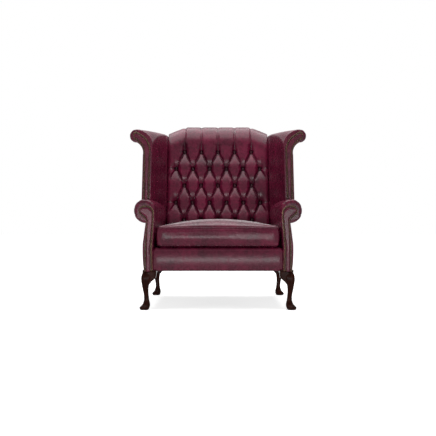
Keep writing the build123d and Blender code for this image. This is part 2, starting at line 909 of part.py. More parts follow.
tack_rail = block(
    arm_lining_x, arm_lining_x + tack_rail_width, frame_y + board_thickness,
    back_y(deck_height) - back_cover_thickness, deck_height + tack_rail_lift,
    deck_height + tack_rail_lift + tack_rail_height,
) - back_post
side_rail = block(
    rail_half_width - rail_thickness, rail_half_width, frame_y + board_thickness,
    rear_y - back_cover_thickness, rail_bottom, rail_top,
) - back_post
front_rail = block(
    -arm_lining_x, arm_lining_x, front_rail_y, front_rail_y + rail_thickness, rail_bottom, rail_top
)
front_rail -= [arm_post_space, mirror(arm_post_space, about=Plane.YZ)]
rear_rail = block(
    -post_inner_x, post_inner_x, rear_y - back_cover_thickness - rail_thickness,
    rear_y - back_cover_thickness, rail_bottom, rail_top,
)
stuffing_rail = raked_slab(
    -post_inner_x, post_inner_x, stuffing_rail_bottom, stuffing_rail_bottom + stuffing_rail_height,
    back_cover_thickness, frame_cover,
)
top_rail_top = chair_height - crest_cover
top_rail = raked_slab(
    -post_inner_x, post_inner_x, top_rail_top - top_rail_height, top_rail_top,
    back_cover_thickness, frame_cover,
) & crest_plate(crest_cover)

wing_top_rail = wing_rail() - back_post - top_rail

both_sides("arm_post", arm_post)
both_sides("wing_post", wing_post)
both_sides("back_post", back_post)
both_sides("arm_board", arm_board)
both_sides("wing_top_rail", wing_top_rail)
both_sides("arm_tack_rail", tack_rail)
both_sides("seat_rail", side_rail)
save("front_seat_rail", front_rail)
save("rear_seat_rail", rear_rail)
save("back_stuffing_rail", stuffing_rail)
save("back_top_rail", top_rail)

# Build the legs, their corner blocks and bolts
low_nails = [spot for spot in arm_nail_spots if spot[1] < rail_bottom + nail_radius]
front_leg = leg(frame_y, False) - nail_holes(low_nails, facing_y)
rear_leg = leg(rear_y, True)
both_sides("front_leg", front_leg)
both_sides("rear_leg", rear_leg)
front_bolt = leg_bolt(frame_y, 1)
rear_bolt = leg_bolt(rear_y, -1)
corner_spaces = [
    corner_block(front_rail_y + rail_thickness, 1),
    corner_block(post_front_y, -1),
]
blocks = [corner_spaces[0] - front_bolt, corner_spaces[1] - rear_bolt]
bolts = [front_bolt, rear_bolt]
save("corner_blocks", Compound(children=blocks + [mirror(b, about=Plane.YZ) for b in blocks]))
save("leg_bolts", Compound(children=bolts + [mirror(b, about=Plane.YZ) for b in bolts]))

# Build the springing and the dust cover
springs = [spring(x) for x in spring_rows()]
save("seat_springs", Compound(children=springs))
save("spring_clips", Compound(children=spring_clips(springs)))
strips_up = [
    raked_slab(
        x - webbing_width / 2, x + webbing_width / 2, stuffing_rail_bottom, top_rail_top - webbing_width,
        frame_cover, frame_cover + webbing_thickness,
    )
    for x in spring_rows()
]
strip_run = top_rail_top - stuffing_rail_bottom
strip_half = post_inner_x + post_thickness / 2
strips_across = [
    raked_slab(
        -strip_half, strip_half, stuffing_rail_bottom + strip_run * share,
        stuffing_rail_bottom + strip_run * share + webbing_width,
        frame_cover + webbing_thickness, frame_cover + 2 * webbing_thickness,
    )
    for share in webbing_height_shares
]
webbing = strips_up[0].fuse(*strips_up[1:], *strips_across)
save("back_webbing", webbing)

# Build the upholstery
back_pad = buttoned_back()
save("back_pad", back_pad)
save("back_buttons", back_buttons())

arm_cover_outer = [
    [(arm_neck_x, arm_neck_z), (arm_stem_x, arm_stem_z)],
    [
        (arm_stem_x, arm_stem_z),
        ((arm_stem_x + arm_heel_x) / 2 + arm_stem_bulge, (arm_stem_z + rail_bottom) / 2),
        (arm_heel_x, rail_bottom),
    ],
]
arm_cover_inner = [
    [(x - cover_thickness, z) for x, z in reversed(points)] for points in reversed(arm_cover_outer)
]
arm_cover_segments = (
    arm_cover_outer
    + [[(arm_heel_x, rail_bottom), (arm_heel_x - cover_thickness, rail_bottom)]]
    + arm_cover_inner
    + [[(arm_neck_x - cover_thickness, arm_neck_z), (arm_neck_x, arm_neck_z)]]
)
arm_cover = plate(arm_cover_segments, frame_y + board_thickness, chair_depth) - behind_back
arm_cover = arm_cover - side_rail
arm_hollow = block(
    arm_lining_x, arm_outer_front, frame_y + board_thickness, chair_depth,
    rail_bottom - overrun, arm_neck_z,
)
inside_back = back_slab()
timber = [
    arm_post_space, wing_post_space, back_post, arm_board, wing_top_rail, tack_rail, side_rail,
    front_rail, rear_rail, stuffing_rail, top_rail, webbing,
]
timber += [corner_space for corner_space in corner_spaces]
arm_pad = arm_space - arm_hollow - timber - inside_back

wing_room = wing_layer(-overrun)
wing_panel = (wing_space & wing_room) - wing_layer(cover_thickness) - timber
wing_pieces = (wing_space - wing_room - timber - inside_back).solids().sort_by(SortBy.VOLUME)
wing_pad = wing_pieces[-1]
wing_panel += wing_pieces[:-1]
both_sides("arm_pad", arm_pad)
both_sides("outside_arm", arm_cover)
both_sides("wing_pad", wing_pad)
both_sides("outside_wing", wing_panel)

outside_back = (
    raked_slab(-chair_height, chair_height, rail_bottom, chair_height, 0, back_cover_thickness)
    & crest_plate(crest_cover)
)
save("outside_back", outside_back)

border_top = deck_height
border_face = [
    (border_y, rail_bottom - border_drop),
    (border_y, border_top - border_edge_radius),
    (border_y + border_edge_radius, border_top),
    (front_rail_y + border_lip, border_top),
    (front_rail_y + border_lip, deck_bottom),
    (front_rail_y, deck_bottom),
    (front_rail_y, rail_bottom - border_drop),
]
border_corner = quarter(border_face[1], border_face[2], (border_y, border_top))
border_segments = polygon(border_face)
border_segments[2] = [border_face[1], border_corner, border_face[2]]
arms = [arm_space, mirror(arm_space, about=Plane.YZ)]
legs = [front_leg, rear_leg]
legs += [mirror(piece, about=Plane.YZ) for piece in legs]
border_half = inner_front + arm_foot_lean
front_border = bar(border_segments, -border_half, border_half) - arms - front_rail - legs
save("front_border", front_border)

deck = block(
    -arm_lining_x, arm_lining_x, front_rail_y + border_lip, lean_y(deck_height) + overrun,
    deck_bottom, deck_height,
) - arms - inside_back
save("seat_deck", deck)

cover_half = rail_half_width - rail_thickness / 2
cover_front = front_rail_y + rail_thickness / 2
cover_back = rear_y - back_cover_thickness - rail_thickness / 2
dust_cover = block(
    -cover_half, cover_half, cover_front, cover_back, rail_bottom - dust_cover_thickness, rail_bottom
)
corner_x = arm_heel_x - leg_block_size
for y0, y1 in ((frame_y, frame_y + leg_block_size), (rear_y - leg_block_size, rear_y)):
    for x0, x1 in ((corner_x, arm_heel_x), (-arm_heel_x, -corner_x)):
        dust_cover -= block(x0, x1, y0, y1, rail_bottom - overrun, rail_bottom + overrun)
save("dust_cover", dust_cover)

facing = plate(arm_face, facing_y, frame_y) - nail_holes(arm_nail_spots, facing_y)
wing_facing = plate(wing_face, wing_y, wing_frame_y) - arm_space - nail_holes(wing_nail_spots, wing_y)
both_sides("arm_facing", facing)
both_sides("wing_facing", wing_facing)
both_sides("arm_nails", nails(arm_nail_spots, facing_y))
both_sides("wing_nails", nails(wing_nail_spots, wing_y))

# Build the loose seat cushion
zip_strip = cushion_zip()
core = cushion_solid(cushion_leather)
save("cushion_cover", cushion_solid() - core - zip_strip)
save("cushion_core", core - zip_strip)
save("cushion_zip", zip_strip)
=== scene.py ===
import math
from contextlib import contextmanager

import bmesh
import bpy
import numpy as np
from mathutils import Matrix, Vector, noise


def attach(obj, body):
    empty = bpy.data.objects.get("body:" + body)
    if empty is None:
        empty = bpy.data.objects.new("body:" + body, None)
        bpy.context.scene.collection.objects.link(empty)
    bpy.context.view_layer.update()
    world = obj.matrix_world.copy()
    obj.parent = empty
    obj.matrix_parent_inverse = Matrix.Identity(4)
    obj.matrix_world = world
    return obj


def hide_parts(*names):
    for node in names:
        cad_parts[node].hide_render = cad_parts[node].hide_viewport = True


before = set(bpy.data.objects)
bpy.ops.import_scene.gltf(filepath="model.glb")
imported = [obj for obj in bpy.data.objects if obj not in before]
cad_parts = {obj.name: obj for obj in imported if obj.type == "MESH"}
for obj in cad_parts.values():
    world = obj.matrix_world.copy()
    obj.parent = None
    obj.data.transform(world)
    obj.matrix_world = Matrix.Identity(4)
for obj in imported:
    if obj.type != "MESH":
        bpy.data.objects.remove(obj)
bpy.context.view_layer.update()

# Sizes in metres, the same as the construction's
HEIGHT, DEPTH, LEG = 1.100, 0.850, 0.216
FACING_Y, FRAME_Y, BORDER_Y, RAIL_Y = -0.411, -0.403, -0.399, -0.385
WING_Y, WING_FRAME_Y, CREASE_Y, REAR_Y = -0.211, -0.203, 0.129, 0.254
RAIL_TOP, DECK, PAD_FOOT = 0.306, 0.340, 0.3123
IN_FRONT, IN_BACK = 0.344, 0.328
SEAT_DEPTH, CREST_THICK, NAPE = 0.500, 0.137, 0.036
LEAN_SLOPE = (DEPTH / 2 - CREST_THICK - BORDER_Y - SEAT_DEPTH) / (HEIGHT - DECK)
LEAN = math.atan(LEAN_SLOPE)
REAR_SLOPE = (DEPTH / 2 - REAR_Y) / (HEIGHT - NAPE - RAIL_TOP)
COVER = 0.005
ARM_TOP, ARM_OUT, ARM_OUT_BACK, ARM_ROLL = 0.606, 0.463, 0.440, 0.546
WING_IN, WING_OUT, WING_TOP = 0.379, 0.512, 1.020

# The crest line: level in the middle, then falling to the wings
CREST_LEVEL, CREST_FALL, CREST_CURVE = 0.205, 0.047, 1.15


def lean_y(z):
    """Depth of the front of the back pad at a height."""
    return BORDER_Y + SEAT_DEPTH + LEAN_SLOPE * (z - DECK)


def back_y(z):
    """Depth of the outside back at a height."""
    return REAR_Y + REAR_SLOPE * np.maximum(z - RAIL_TOP, 0)


def crest_z(x):
    """Height of the crest line across the back."""
    run = np.clip((np.abs(x) - CREST_LEVEL) / (IN_BACK - CREST_LEVEL), 0, 1)
    return HEIGHT - CREST_FALL * run ** CREST_CURVE


def mix(a, b, s):
    return a + (b - a) * s


def clamp(s):
    return min(max(s, 0), 1)


def smooth(s):
    s = np.clip(s, 0, 1)
    return s * s * (3 - 2 * s)


def bell(s):
    """1 at 0, and nearly 0 from 2 on, to either side."""
    return np.exp(-s ** 2)


def drawn_in(s):
    """How far a quarter round of radius 1 draws in, from 0 at its start to 1 at its end."""
    return 1 - np.sqrt(1 - s * s)


# Outlines

def line(a, b, n):
    """n points from a up to, but not onto, b."""
    return [(mix(a[0], b[0], i / n), mix(a[1], b[1], i / n)) for i in range(n)]


def arc(a, m, b, n):
    """n points along the circle from a through m up to, but not onto, b."""
    ax, ay, mx, my, bx, by = *a, *m, *b
    d = 2 * (ax * (my - by) + mx * (by - ay) + bx * (ay - my))
    if abs(d) < 1e-12:
        return line(a, b, n)
    sa, sm, sb = ax * ax + ay * ay, mx * mx + my * my, bx * bx + by * by
    cx = (sa * (my - by) + sm * (by - ay) + sb * (ay - my)) / d
    cy = (sa * (bx - mx) + sm * (ax - bx) + sb * (mx - ax)) / d
    r = math.hypot(ax - cx, ay - cy)
    t0, tm, t1 = (math.atan2(y - cy, x - cx) for x, y in (a, m, b))
    sweep, part = (t1 - t0) % (2 * math.pi), (tm - t0) % (2 * math.pi)
    if part > sweep:
        sweep -= 2 * math.pi
    return [(cx + r * math.cos(t0 + sweep * i / n), cy + r * math.sin(t0 + sweep * i / n)) for i in range(n)]


def path(corners, counts):
    """Points along the lines between corners, as many to each line as counts says."""
    return [point for a, b, n in zip(corners, corners[1:], counts) for point in line(a, b, n)]


def turn(a, b, corner, n):
    """n points of the quarter turn from a to b whose tangents meet at corner."""
    k = 1 - math.sqrt(0.5)
    middle = tuple(c + k * (p + q - 2 * c) for p, q, c in zip(a, b, corner))
    return arc(a, middle, b, n)


# Meshes

@contextmanager
def edited(mesh):
    """The mesh's faces and points for editing, written back at the end."""
    bm = bmesh.new()
    bm.from_mesh(mesh)
    yield bm
    bm.to_mesh(mesh)
    bm.free()


def shade_smooth(obj):
    for poly in obj.data.polygons:
        poly.use_smooth = True


def link(name, data):
    obj = bpy.data.objects.new(name, data)
    bpy.context.collection.objects.link(obj)
    return obj


def make(name, verts, faces):
    """A smooth object whose faces look outwards."""
    mesh = bpy.data.meshes.new(name)
    mesh.from_pydata([tuple(float(c) for c in v) for v in verts], [], faces)
    mesh.validate()
    mesh.update()
    obj = link(name, mesh)
    with edited(mesh) as bm:
        bmesh.ops.recalc_face_normals(bm, faces=bm.faces)
    shade_smooth(obj)
    return obj


def loft(name, rings):
    """A closed skin over rings of the same number of points, with flat ends."""
    rings = np.asarray(rings, float)
    n, m = rings.shape[:2]
    faces = []
    for i in range(n - 1):
        for j in range(m):
            k = (j + 1) % m
            faces.append((i * m + j, i * m + k, (i + 1) * m + k, (i + 1) * m + j))
    faces += [tuple(range(m)), tuple(range((n - 1) * m, n * m))]
    return make(name, rings.reshape(-1, 3), faces)


def slab(name, grid, inward, thick, edge):
    """A thick sheet over a grid of points. inward points into the object; the border sinks by edge."""
    grid = np.asarray(grid, float)
    n, m = grid.shape[:2]
    normal = np.cross(np.gradient(grid, axis=0), np.gradient(grid, axis=1))
    normal /= np.linalg.norm(normal, axis=2, keepdims=True) + 1e-12
    if (normal * np.asarray(inward)).sum() > 0:
        normal = -normal
    border = np.zeros((n, m, 1))
    border[0], border[-1], border[:, 0], border[:, -1] = 1, 1, 1, 1
    top = grid - normal * edge * border
    low = grid - normal * thick
    faces, off = [], n * m
    for i in range(n - 1):
        for j in range(m - 1):
            a, b, c, d = i * m + j, i * m + j + 1, (i + 1) * m + j + 1, (i + 1) * m + j
            faces += [(a, b, c, d), (off + a, off + d, off + c, off + b)]
    rim = list(range(m)) + [i * m + m - 1 for i in range(1, n)]
    rim += [(n - 1) * m + j for j in range(m - 2, -1, -1)] + [i * m for i in range(n - 2, 0, -1)]
    for a, b in zip(rim, rim[1:] + rim[:1]):
        faces.append((a, b, off + b, off + a))
    return make(name, np.concatenate([top.reshape(-1, 3), low.reshape(-1, 3)]), faces)


def tube(name, points, radius, sides=10):
    """A round cord of the given radius along a level closed loop of points."""
    p = np.asarray(points, float)
    ahead = np.roll(p, -1, 0) - np.roll(p, 1, 0)
    ahead /= np.linalg.norm(ahead, axis=1, keepdims=True) + 1e-12
    side = np.cross(ahead, (0.0, 0.0, 1.0))
    side /= np.linalg.norm(side, axis=1, keepdims=True) + 1e-12
    over = np.cross(side, ahead)
    verts, faces, n = [], [], len(p)
    for i in range(n):
        for k in range(sides):
            a = 2 * math.pi * k / sides
            verts.append(p[i] + radius * (math.cos(a) * side[i] + math.sin(a) * over[i]))
            j, l = (i + 1) % n, (k + 1) % sides
            faces.append((i * sides + k, i * sides + l, j * sides + l, j * sides + k))
    return make(name, verts, faces)


def mirrored(obj, name):
    mesh = obj.data.copy()
    mesh.name = name
    with edited(mesh) as bm:
        bmesh.ops.scale(bm, vec=(-1, 1, 1), verts=bm.verts)
        bmesh.ops.reverse_faces(bm, faces=bm.faces)
    return link(name, mesh)


def both_sides(obj):
    """The right piece and its mirror image, each with its side's name."""
    return ("right", obj), ("left", mirrored(obj, obj.name.replace("right_", "left_")))


def applied(obj):
    """The object with its modifiers worked into its mesh."""
    graph = bpy.context.evaluated_depsgraph_get()
    mesh = bpy.data.meshes.new_from_object(obj.evaluated_get(graph))
    obj.modifiers.clear()
    obj.data = mesh
    return obj


def modified(obj, kind, **settings):
    """The object with a modifier of this kind worked into its mesh."""
    mod = obj.modifiers.new(kind.lower(), kind)
    for key, value in settings.items():
        setattr(mod, key, value)
    return applied(obj)


def coords(obj):
    """The object's points, one in each row."""
    co = np.empty(len(obj.data.vertices) * 3)
    obj.data.vertices.foreach_get("co", co)
    return co.reshape(-1, 3)


def set_coords(obj, co):
    obj.data.vertices.foreach_set("co", co.ravel())
    obj.data.update()


def set_painted_shade(obj, values):
    """Stores how dark the painted shade makes the leather at each vertex, from values of 0 in the folds to 1
    on open leather.
    """
    layer = obj.data.color_attributes.new("shade", "FLOAT_COLOR", "POINT")
    flat = np.ones((len(obj.data.vertices), 4), np.float32)
    flat[:, 0] = flat[:, 1] = flat[:, 2] = 1 - np.asarray(values)
    layer.data.foreach_set("color", flat.ravel())


# Materials

def feed(tree, socket, value):
    """Links the socket to value if that is a node's output, or else sets it."""
    if hasattr(value, "links"):
        tree.links.new(value, socket)
    else:
        socket.default_value = value


def new_node(tree, kind, inputs=(), **settings):
    """A node with these settings and with inputs fed by name or number."""
    node = tree.nodes.new(kind)
    for key, value in settings.items():
        setattr(node, key, value)
    for key, value in dict(inputs).items():
        feed(tree, node.inputs[key], value)
    return node


class Nodes:
    """Short names for building a node material."""

    def __init__(self, name):
        self.mat = bpy.data.materials.new(name)
        self.mat.use_nodes = True
        self.tree = self.mat.node_tree
        self.bsdf = self.tree.nodes["Principled BSDF"]
        self.coord = self.add("ShaderNodeTexCoord", out="Object")

    def add(self, kind, inputs=(), out=0, **settings):
        """One output of a new node."""
        return new_node(self.tree, kind, inputs, **settings).outputs[out]

    def noise(self, scale, detail=3.0, rough=0.55, stretch=None, distortion=0.0):
        source = self.coord
        if stretch:
            source = self.add("ShaderNodeMapping", {"Vector": self.coord, "Scale": stretch})
        return self.add("ShaderNodeTexNoise", {
            "Vector": source, "Scale": scale, "Detail": detail, "Roughness": rough, "Distortion": distortion,
        })

    def cells(self, scale, feature="F1"):
        inputs = {"Vector": self.coord, "Scale": scale}
        return self.add("ShaderNodeTexVoronoi", inputs, "Distance", feature=feature)

    def ramp(self, fac, *stops):
        node = new_node(self.tree, "ShaderNodeValToRGB", {"Fac": fac})
        elements = node.color_ramp.elements
        while len(elements) < len(stops):
            elements.new(0.5)
        for element, (place, colour) in zip(elements, stops):
            element.position = place
            element.color = (*colour, 1.0)
        return node.outputs[0]

    def blend(self, fac, a, b):
        """Colour a with colour b laid over it."""
        return self.add("ShaderNodeMix", {0: fac, 6: a, 7: (*b, 1.0)}, 2, data_type="RGBA")

    def math(self, op, a, b=0.0):
        return self.add("ShaderNodeMath", {0: a, 1: b}, operation=op)

    def sum(self, a, a_share, b, b_share):
        return self.math("ADD", self.math("MULTIPLY", a, a_share), self.math("MULTIPLY", b, b_share))

    def span(self, fac, low, rise):
        """low, plus rise times fac."""
        return self.math("ADD", low, self.math("MULTIPLY", fac, rise))

    def flecks(self, scale, size, strength):
        """strength inside small round spots, and 0 between them."""
        return self.math("MULTIPLY", self.math("LESS_THAN", self.cells(scale), size), strength)

    def bump(self, height, strength, distance, normal=None):
        inputs = {"Strength": strength, "Distance": distance, "Height": height}
        if normal is not None:
            inputs["Normal"] = normal
        return self.add("ShaderNodeBump", inputs)

    def set(self, **inputs):
        for key, value in inputs.items():
            feed(self.tree, self.bsdf.inputs[key.replace("_", " ")], value)
        return self.mat


def leather(name, dark, mid, fold, sheen=0.0):
    """Mottled leather with small dark pores, and painted shade where its shade attribute says so. sheen adds
    a painted highlight to what faces up.
    """
    n = Nodes(name)
    broad = n.noise(7.0, 4.0, 0.6)
    fine = n.noise(38.0, 5.0, 0.65, distortion=0.6)
    colour = n.ramp(n.sum(broad, 0.55, fine, 0.45), (0.36, dark), (0.62, mid))
    colour = n.blend(n.flecks(520.0, 0.22, 0.25), colour, fold)
    shade = n.add("ShaderNodeAttribute", out="Fac", attribute_name="shade")
    # Painted shade: the shade attribute darkens the leather towards the crevice colour in folds, pits,
    # gathers, nail beds and seams
    colour = n.blend(shade, colour, fold)
    grain = n.sum(n.cells(430.0, "SMOOTH_F1"), 0.7, n.noise(900.0, 2.0), 0.3)
    creases = n.noise(55.0, 4.0, 0.6, distortion=1.2)
    normal = n.bump(grain, 0.16, 0.0005, n.bump(creases, 0.14, 0.004))
    # Painted highlight: sheen only on what faces up, stronger the more it faces up
    facing_up = n.add("ShaderNodeSeparateXYZ", {0: n.add("ShaderNodeNewGeometry", out="Normal")}, 2)
    lit = n.math("MULTIPLY", n.math("MAXIMUM", n.math("SUBTRACT", facing_up, 0.25), 0.0), sheen)
    return n.set(Base_Color=colour, Roughness=n.span(fine, 0.20, 0.15), Normal=normal,
                 Specular_IOR_Level=0.18, Sheen_Weight=lit, Sheen_Roughness=0.3)


def mahogany():
    n = Nodes("dark_mahogany")
    grain = n.noise(60.0, 6.0, 0.6, stretch=(1.0, 1.0, 0.12), distortion=1.5)
    dark, mid, light = (0.007, 0.0016, 0.0008), (0.020, 0.0038, 0.0018), (0.042, 0.0080, 0.0030)
    colour = n.ramp(grain, (0.30, dark), (0.55, mid), (0.75, light))
    return n.set(Base_Color=colour, Roughness=n.span(grain, 0.20, 0.16), Normal=n.bump(grain, 0.06, 0.0008),
                 Specular_IOR_Level=0.04)


def brass():
    n = Nodes("antique_brass")
    patina = n.noise(220.0, 4.0, 0.6)
    colour = n.ramp(patina, (0.35, (0.016, 0.009, 0.006)), (0.65, (0.095, 0.060, 0.038)))
    return n.set(Base_Color=colour, Roughness=n.span(patina, 0.28, 0.2), Metallic=1.0,
                 Normal=n.bump(patina, 0.15, 0.0004))


def beech():
    n = Nodes("frame_beech")
    grain = n.noise(45.0, 5.0, 0.6, stretch=(1.0, 0.15, 1.0), distortion=1.0)
    colour = n.ramp(grain, (0.35, (0.42, 0.26, 0.13)), (0.65, (0.60, 0.42, 0.25)))
    colour = n.blend(n.flecks(300.0, 0.2, 0.35), colour, (0.30, 0.17, 0.08))
    return n.set(Base_Color=colour, Roughness=n.span(grain, 0.5, 0.25), Normal=n.bump(grain, 0.2, 0.001))


def steel():
    n = Nodes("spring_steel")
    drawn = n.noise(500.0, 3.0, 0.5, stretch=(1.0, 0.1, 1.0))
    colour = n.ramp(drawn, (0.3, (0.20, 0.20, 0.21)), (0.7, (0.42, 0.43, 0.45)))
    return n.set(Base_Color=colour, Roughness=n.span(drawn, 0.25, 0.2), Metallic=1.0)


def woven(name, dark, light, threads, rough):
    n = Nodes(name)
    split = new_node(n.tree, "ShaderNodeSeparateXYZ", {0: n.coord}).outputs
    warp = n.math("SINE", n.math("MULTIPLY", split[0], threads))
    weft = n.math("SINE", n.math("MULTIPLY", n.math("ADD", split[1], split[2]), threads))
    cloth = n.span(n.math("MULTIPLY", warp, weft), 0.5, 0.25)
    colour = n.ramp(n.sum(cloth, 0.6, n.noise(30.0), 0.4), (0.3, dark), (0.7, light))
    return n.set(Base_Color=colour, Roughness=rough, Normal=n.bump(cloth, 0.4, 0.0006))


BURGUNDY = (0.044, 0.0028, 0.0118), (0.118, 0.0070, 0.0285)
# The colour of the grain's small pores, and of the painted shade in the leather's folds, pits and seams
PORE_AND_CREVICE_SHADE = (0.006, 0.0008, 0.0020)
LEATHER = leather("antiqued_leather", *BURGUNDY, PORE_AND_CREVICE_SHADE)
# A copy of the leather with a painted highlight, an extra sheen on what faces up, for the back and the
# cushion
TOP_SHEEN_LEATHER = leather("top_sheen_leather", *BURGUNDY, PORE_AND_CREVICE_SHADE, sheen=1.2)
# The buttons' leather, painted darker than the rest as painted shade of the hollows they sit in
SHADED_BUTTON_LEATHER = leather("shaded_button_leather", (0.016, 0.0014, 0.0046), (0.042, 0.0034, 0.0110), PORE_AND_CREVICE_SHADE)
WOOD = mahogany()
BRASS = brass()
BEECH = beech()
STEEL = steel()
JUTE = woven("jute_webbing", (0.25, 0.17, 0.09), (0.52, 0.40, 0.25), 2600.0, 0.85)
CAMBRIC = woven("black_cambric", (0.008, 0.008, 0.009), (0.030, 0.030, 0.033), 5200.0, 0.9)
TAPE = woven("zip_tape", (0.02, 0.004, 0.008), (0.09, 0.03, 0.04), 2100.0, 0.7)


def finish(obj, material, body="chair"):
    obj.data.materials.clear()
    obj.data.materials.append(material)
    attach(obj, body)
    return obj


# Tufted back

PITCH, ROW, TOP_ROW = 0.109, 0.114, 0.9387
BUTTON_ROWS = (5, 6, 5, 6, 5)
TUFT, FOLD, PLEAT, EDGE_FOLD = 0.030, 0.0075, 0.0055, 0.003
FOLD_SHARE, FOLD_CURVE = 0.32, 2.2
PLEAT_RUN, EDGE_RUN = 0.13, 0.045
GROOVE, GROOVE_WIDTH, PLEAT_WIDTHS, PLEAT_NARROWS = 0.0026, 0.0027, (0.0034, 0.0024), 0.15
GROOVE_FADE_SHARE, GROOVE_FADES, GROOVE_SHADE = 0.6, 0.16, 0.7
HOLLOW_HALF, HOLLOW_UP, HOLLOW_DOWN, HOLLOW_CURVE = 0.036, 0.078, 0.110, 1.8
FACET_SHARE, FACET_DOWN, FACET_EDGE, FACET_CURVE = 0.90, 0.112, 0.013, 1.6
WRINKLE, WRINKLE_RING, WRINKLE_WIDTH, WRINKLES = 0.0009, 0.024, 0.009, 9
BUTTON_SEAT, SEAT_EDGE = 0.0138, 0.0030
# How dark the painted shade is at the floor of each button pit, and where it fades out
PIT_SHADED_TONE, PIT, PIT_EDGE = 0.08, 0.010, 0.008


def nearest(v):
    """Distance to the nearest whole number, from 0 on it to 1 half way between two."""
    return 2 * np.abs(v - np.round(v))


def edge_rise(s):
    """Rise of the leather from a fold, 0, to open leather, 1."""
    return 1 - (1 - np.clip(s / FOLD_SHARE, 0, 1)) ** FOLD_CURVE


def valley(depth, a, b):
    """Height between two sets of folds of that depth, a and b away."""
    return -depth * (1 - edge_rise(a) * edge_rise(b))


def tufting(x, t):
    """Height of the leather at x across and t up from the top row of buttons, and its tone, with painted
    shade in the fold grooves and button pits.
    """
    half = (max(BUTTON_ROWS) - 1) / 2 * PITCH
    bottom = -(len(BUTTON_ROWS) - 1) * ROW
    p, q = nearest(x / PITCH + t / (2 * ROW)), nearest(x / PITCH - t / (2 * ROW))
    apart = 1 / math.hypot(1 / PITCH, 1 / (2 * ROW))
    sx = np.where(np.abs(x) < half, nearest(x / PITCH), 1)
    st = nearest((t + ROW) / (2 * ROW))
    column = valley(mix(FOLD, PLEAT, smooth(t / PLEAT_RUN)), sx, sx)
    side = valley(mix(FOLD, EDGE_FOLD, smooth((np.abs(x) - half) / EDGE_RUN)), st, st)
    outer = np.abs(x) >= half
    free = (t > 0) | (t < bottom)
    height = np.where(free, column, np.where(outer, side, valley(FOLD, p, q)))
    near_fold = np.where(free, sx / 2 * PITCH, np.where(outer, st * ROW, np.minimum(p, q) / 2 * apart))
    width = np.where(free, mix(*PLEAT_WIDTHS, smooth(t / PLEAT_NARROWS)), GROOVE_WIDTH)
    groove = bell(near_fold / width) * mix(1.0, GROOVE_FADE_SHARE, smooth(t / GROOVE_FADES))
    height = height - GROOVE * groove
    dist = np.full_like(height, DEPTH)
    pull = np.zeros_like(height)
    for row, count in enumerate(BUTTON_ROWS):
        for i in range(count):
            dx, dt = x - (i - (count - 1) / 2) * PITCH, t + row * ROW
            r = np.hypot(dx, dt)
            long = np.where(dt > 0, HOLLOW_UP, HOLLOW_DOWN)
            hollow = np.clip(1 - np.hypot(dx / HOLLOW_HALF, dt / long), 0, 1) ** HOLLOW_CURVE
            outside = (np.abs(dx) + dt * PITCH / (2 * ROW)) * FACET_SHARE
            slope = np.clip(1 + dt / FACET_DOWN, 0, 1) ** FACET_CURVE * (dt < 0)
            facet = slope * smooth(1 - outside / FACET_EDGE)
            pull = np.maximum(pull, np.maximum(hollow, facet))
            wave = np.sin(WRINKLES * np.arctan2(dt, dx) + 1.3 * i + row)
            height = height + WRINKLE * bell((r - WRINKLE_RING) / WRINKLE_WIDTH) * wave
            dist = np.minimum(dist, r)
    for share in (pull, smooth((BUTTON_SEAT - dist) / SEAT_EDGE)):
        height = mix(height, -TUFT, share)
    # Painted shade: darker along the fold grooves and in the pit round each button
    tone = np.minimum(1 - GROOVE_SHADE * groove, mix(PIT_SHADED_TONE, 1.0, smooth((dist - PIT) / PIT_EDGE)))
    return height, np.clip(tone, 0, 1)


# The back pad's side outline: how its front turns over the crest and down to the hem behind
CREST_LIFT, BREAST, CREST_DEPTH, CREST_CROWN = 0.009, 0.130, 0.062, 0.002
CREST_GIRTH, CREST_FLAT, NAPE_STEPS, NAPE_STEP, HEM_GIRTH = 0.17, 0.03, 12, 0.005, 0.07
HEM_DROP, PAD_BACK, TAIL_MIDDLE = 0.056, 0.042, 0.6
TUFTS_END, TUFTS_FADE, TUFTS_LEFT = 0.19, 0.09, 0.1
SIDE_GAP, SIDE_ROUND, SIDE_DROP = 0.0003, 0.022, 0.012
SIDE_FADE_FROM, SIDE_FADE, SIDE_LEFT = -0.06, 0.14, 0.10


def back_loop(x, step):
    """Side outline of the back pad at x. Its rows hold y, z, the normal's angle and the way up."""
    top = float(crest_z(x)) + CREST_LIFT
    front_top = top - BREAST
    n, m, k = (round(run / step) for run in (HEIGHT - BREAST - PAD_FOOT, CREST_GIRTH, CREST_FLAT))
    rows = []
    for i in range(n):
        z = mix(PAD_FOOT, front_top, i / n)
        rows.append((lean_y(z), z, LEAN, (z - TOP_ROW) / math.cos(LEAN)))
    start = rows[-1][3] + step
    breast, crest = (lean_y(front_top), front_top), (lean_y(top) + CREST_DEPTH, top)
    for i, point in enumerate(turn(breast, crest, (lean_y(top), top), m)):
        rows.append((*point, mix(LEAN, math.pi / 2, i / m), start + i * step))
    nape = (float(back_y(top - NAPE)), top - NAPE)
    brink = (nape[0] - NAPE, top)
    for i in range(k):
        crown = CREST_CROWN * math.sin(math.pi * i / k)
        rows.append((mix(crest[0], brink[0], i / k), top + crown, math.pi / 2, start + (m + i) * step))
    end = start + (m + k) * step
    for i, point in enumerate(turn(brink, nape, (nape[0], top), NAPE_STEPS)):
        rows.append((*point, mix(math.pi / 2, math.pi, i / NAPE_STEPS), end + i * NAPE_STEP))
    hem_z = top - HEM_DROP
    for point in (nape, (float(back_y(hem_z)), hem_z)):
        rows.append((*point, math.pi, end + HEM_GIRTH))
    tail = [(float(back_y(z)) - PAD_BACK, z) for z in (hem_z, TAIL_MIDDLE, PAD_FOOT)]
    return np.array(rows), tail


